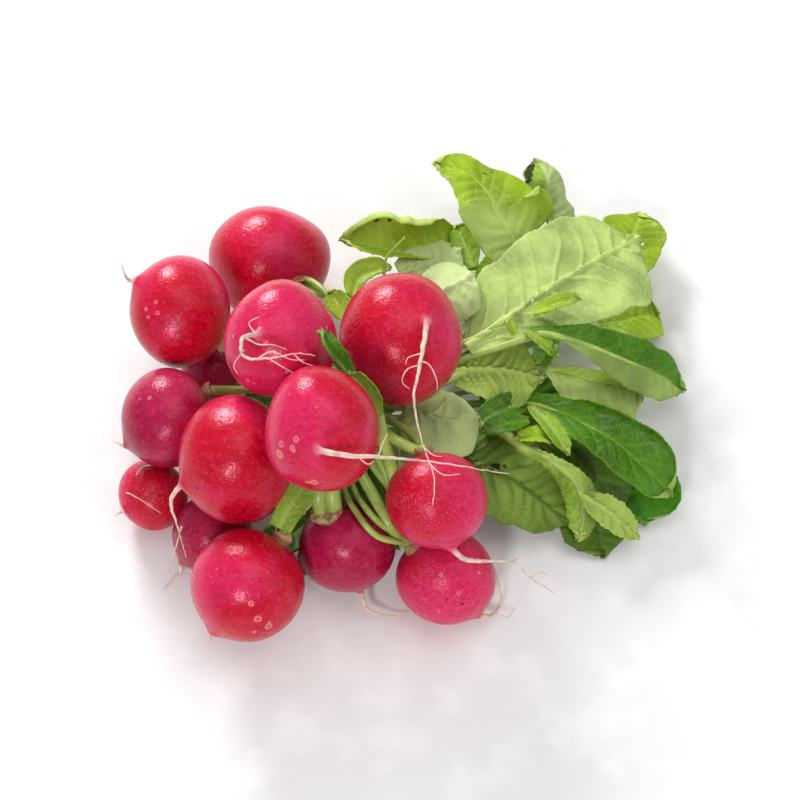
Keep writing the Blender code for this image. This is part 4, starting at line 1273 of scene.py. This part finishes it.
class MESH_OT_band(Operator):
    """Wind the rubber band round the stalks"""
    bl_idname = "mesh.wind_radish_band"
    bl_label = "Band"

    def execute(self, context):
        settings = context.scene.radish_band_settings
        look = plain_material("band_rubber", tuple(settings.colour), 0.5)
        loops = []
        for turn in range(settings.turns):
            clear_selection()
            bpy.ops.mesh.primitive_torus_add(major_segments=64, minor_segments=12, major_radius=1.0,
                                             minor_radius=0.08)
            loop = bpy.context.object
            points = mesh_points(loop.data)
            angle = np.arctan2(points[:, 1], points[:, 0])
            radial = np.hypot(points[:, 0], points[:, 1])
            shift = (turn - (settings.turns - 1) / 2) * 2.0
            reach = BAND_INNER + 0.65 + (radial - 1) * 7.5
            placed = np.column_stack([shift + points[:, 2] * 11.0 + 0.35 * np.sin(angle * 2 + turn * 1.7),
                                      np.cos(angle) * reach, np.sin(angle) * reach])
            set_mesh_points(loop.data, to_frame(placed + BAND_CENTRE))
            bpy.ops.object.shade_smooth()
            loops.append(loop)
        make_active(*loops)
        bpy.ops.object.join()
        bpy.ops.object.mode_set(mode="EDIT")
        bpy.ops.mesh.select_all(action="SELECT")
        bpy.ops.mesh.normals_make_consistent(inside=False)
        bpy.ops.object.mode_set(mode="OBJECT")
        band = bpy.context.object
        band.data.materials.clear()
        band.data.materials.append(look)
        finish_piece(band, "stalk_band_loops", "stalk_band")
        return {"FINISHED"}


class OBJECT_OT_stage(Operator):
    """Set up the floor, the lights and the camera"""
    bl_idname = "object.radish_stage"
    bl_label = "Stage"

    def execute(self, context):
        settings = context.scene.radish_stage_settings
        clear_selection()
        bpy.ops.mesh.primitive_plane_add(size=4.0)
        floor = context.object
        floor.name = "floor"
        floor.data.materials.append(plain_material("floor_paper", tuple(settings.floor), 0.9, 60.0, 0.0))
        world = bpy.data.worlds.new("studio")
        world.use_nodes = True
        world.node_tree.nodes["Background"].inputs[0].default_value = (1.0, 1.0, 1.0, 1.0)
        world.node_tree.nodes["Background"].inputs[1].default_value = 0.40
        context.scene.world = world
        context.scene.view_settings.view_transform = "Standard"
        aim = to_frame((0.0, 0.0, 25.0))
        for name, (place, size, power) in LIGHTS.items():
            clear_selection()
            bpy.ops.object.light_add(type="AREA", location=place)
            light = context.object
            light.name = name
            light.data.size = size
            light.data.energy = power
            away = unit(np.array(place) - aim)
            light.rotation_euler = away_to_euler(away)
        up = settings.elevation
        place = aim + settings.distance * np.array([0.0, -math.cos(up), math.sin(up)])
        bpy.ops.object.camera_add(location=place, rotation=(math.pi / 2 - up, 0.0, 0.0))
        camera = context.object
        camera.name = "camera"
        camera.data.lens = settings.lens
        camera.data.sensor_width = 36.0
        camera.data.clip_start = 0.01
        context.scene.camera = camera
        return {"FINISHED"}


def away_to_euler(away):
    """The turn that points a light's back at a direction."""
    return (math.acos(away[2]), 0.0, math.atan2(away[1], away[0]) + math.pi / 2)


class VIEW3D_PT_radish_bunch(Panel):
    bl_label = "Radish Bunch"
    bl_space_type = "VIEW_3D"
    bl_region_type = "UI"
    bl_category = "Radishes"

    def draw(self, context):
        layout = self.layout
        for group in ("radish_settings", "radish_leaf_settings", "radish_band_settings",
                      "radish_stage_settings"):
            settings = getattr(context.scene, group)
            box = layout.box()
            for key in settings.__annotations__:
                box.prop(settings, key)
        for operator in OPERATORS:
            layout.operator(operator.bl_idname)


OPERATORS = (MESH_OT_radishes, MESH_OT_leaves, MESH_OT_spare_stalks, MESH_OT_spare_leaves,
             MESH_OT_band, OBJECT_OT_stage)
CLASSES = (RadishSettings, LeafSettings, BandSettings, StageSettings, *OPERATORS, VIEW3D_PT_radish_bunch)


def register():
    for cls in CLASSES:
        bpy.utils.register_class(cls)
    bpy.types.Scene.radish_settings = PointerProperty(type=RadishSettings)
    bpy.types.Scene.radish_leaf_settings = PointerProperty(type=LeafSettings)
    bpy.types.Scene.radish_band_settings = PointerProperty(type=BandSettings)
    bpy.types.Scene.radish_stage_settings = PointerProperty(type=StageSettings)


def unregister():
    for group in ("radish_settings", "radish_leaf_settings", "radish_band_settings",
                  "radish_stage_settings"):
        delattr(bpy.types.Scene, group)
    for cls in reversed(CLASSES):
        bpy.utils.unregister_class(cls)


def main():
    register()
    bpy.ops.mesh.grow_radishes()
    bpy.ops.mesh.grow_radish_leaves()
    bpy.ops.mesh.lay_spare_stalks()
    bpy.ops.mesh.lay_spare_leaves()
    bpy.ops.mesh.wind_radish_band()
    bpy.ops.object.radish_stage()


if __name__ == "__main__":
    main()
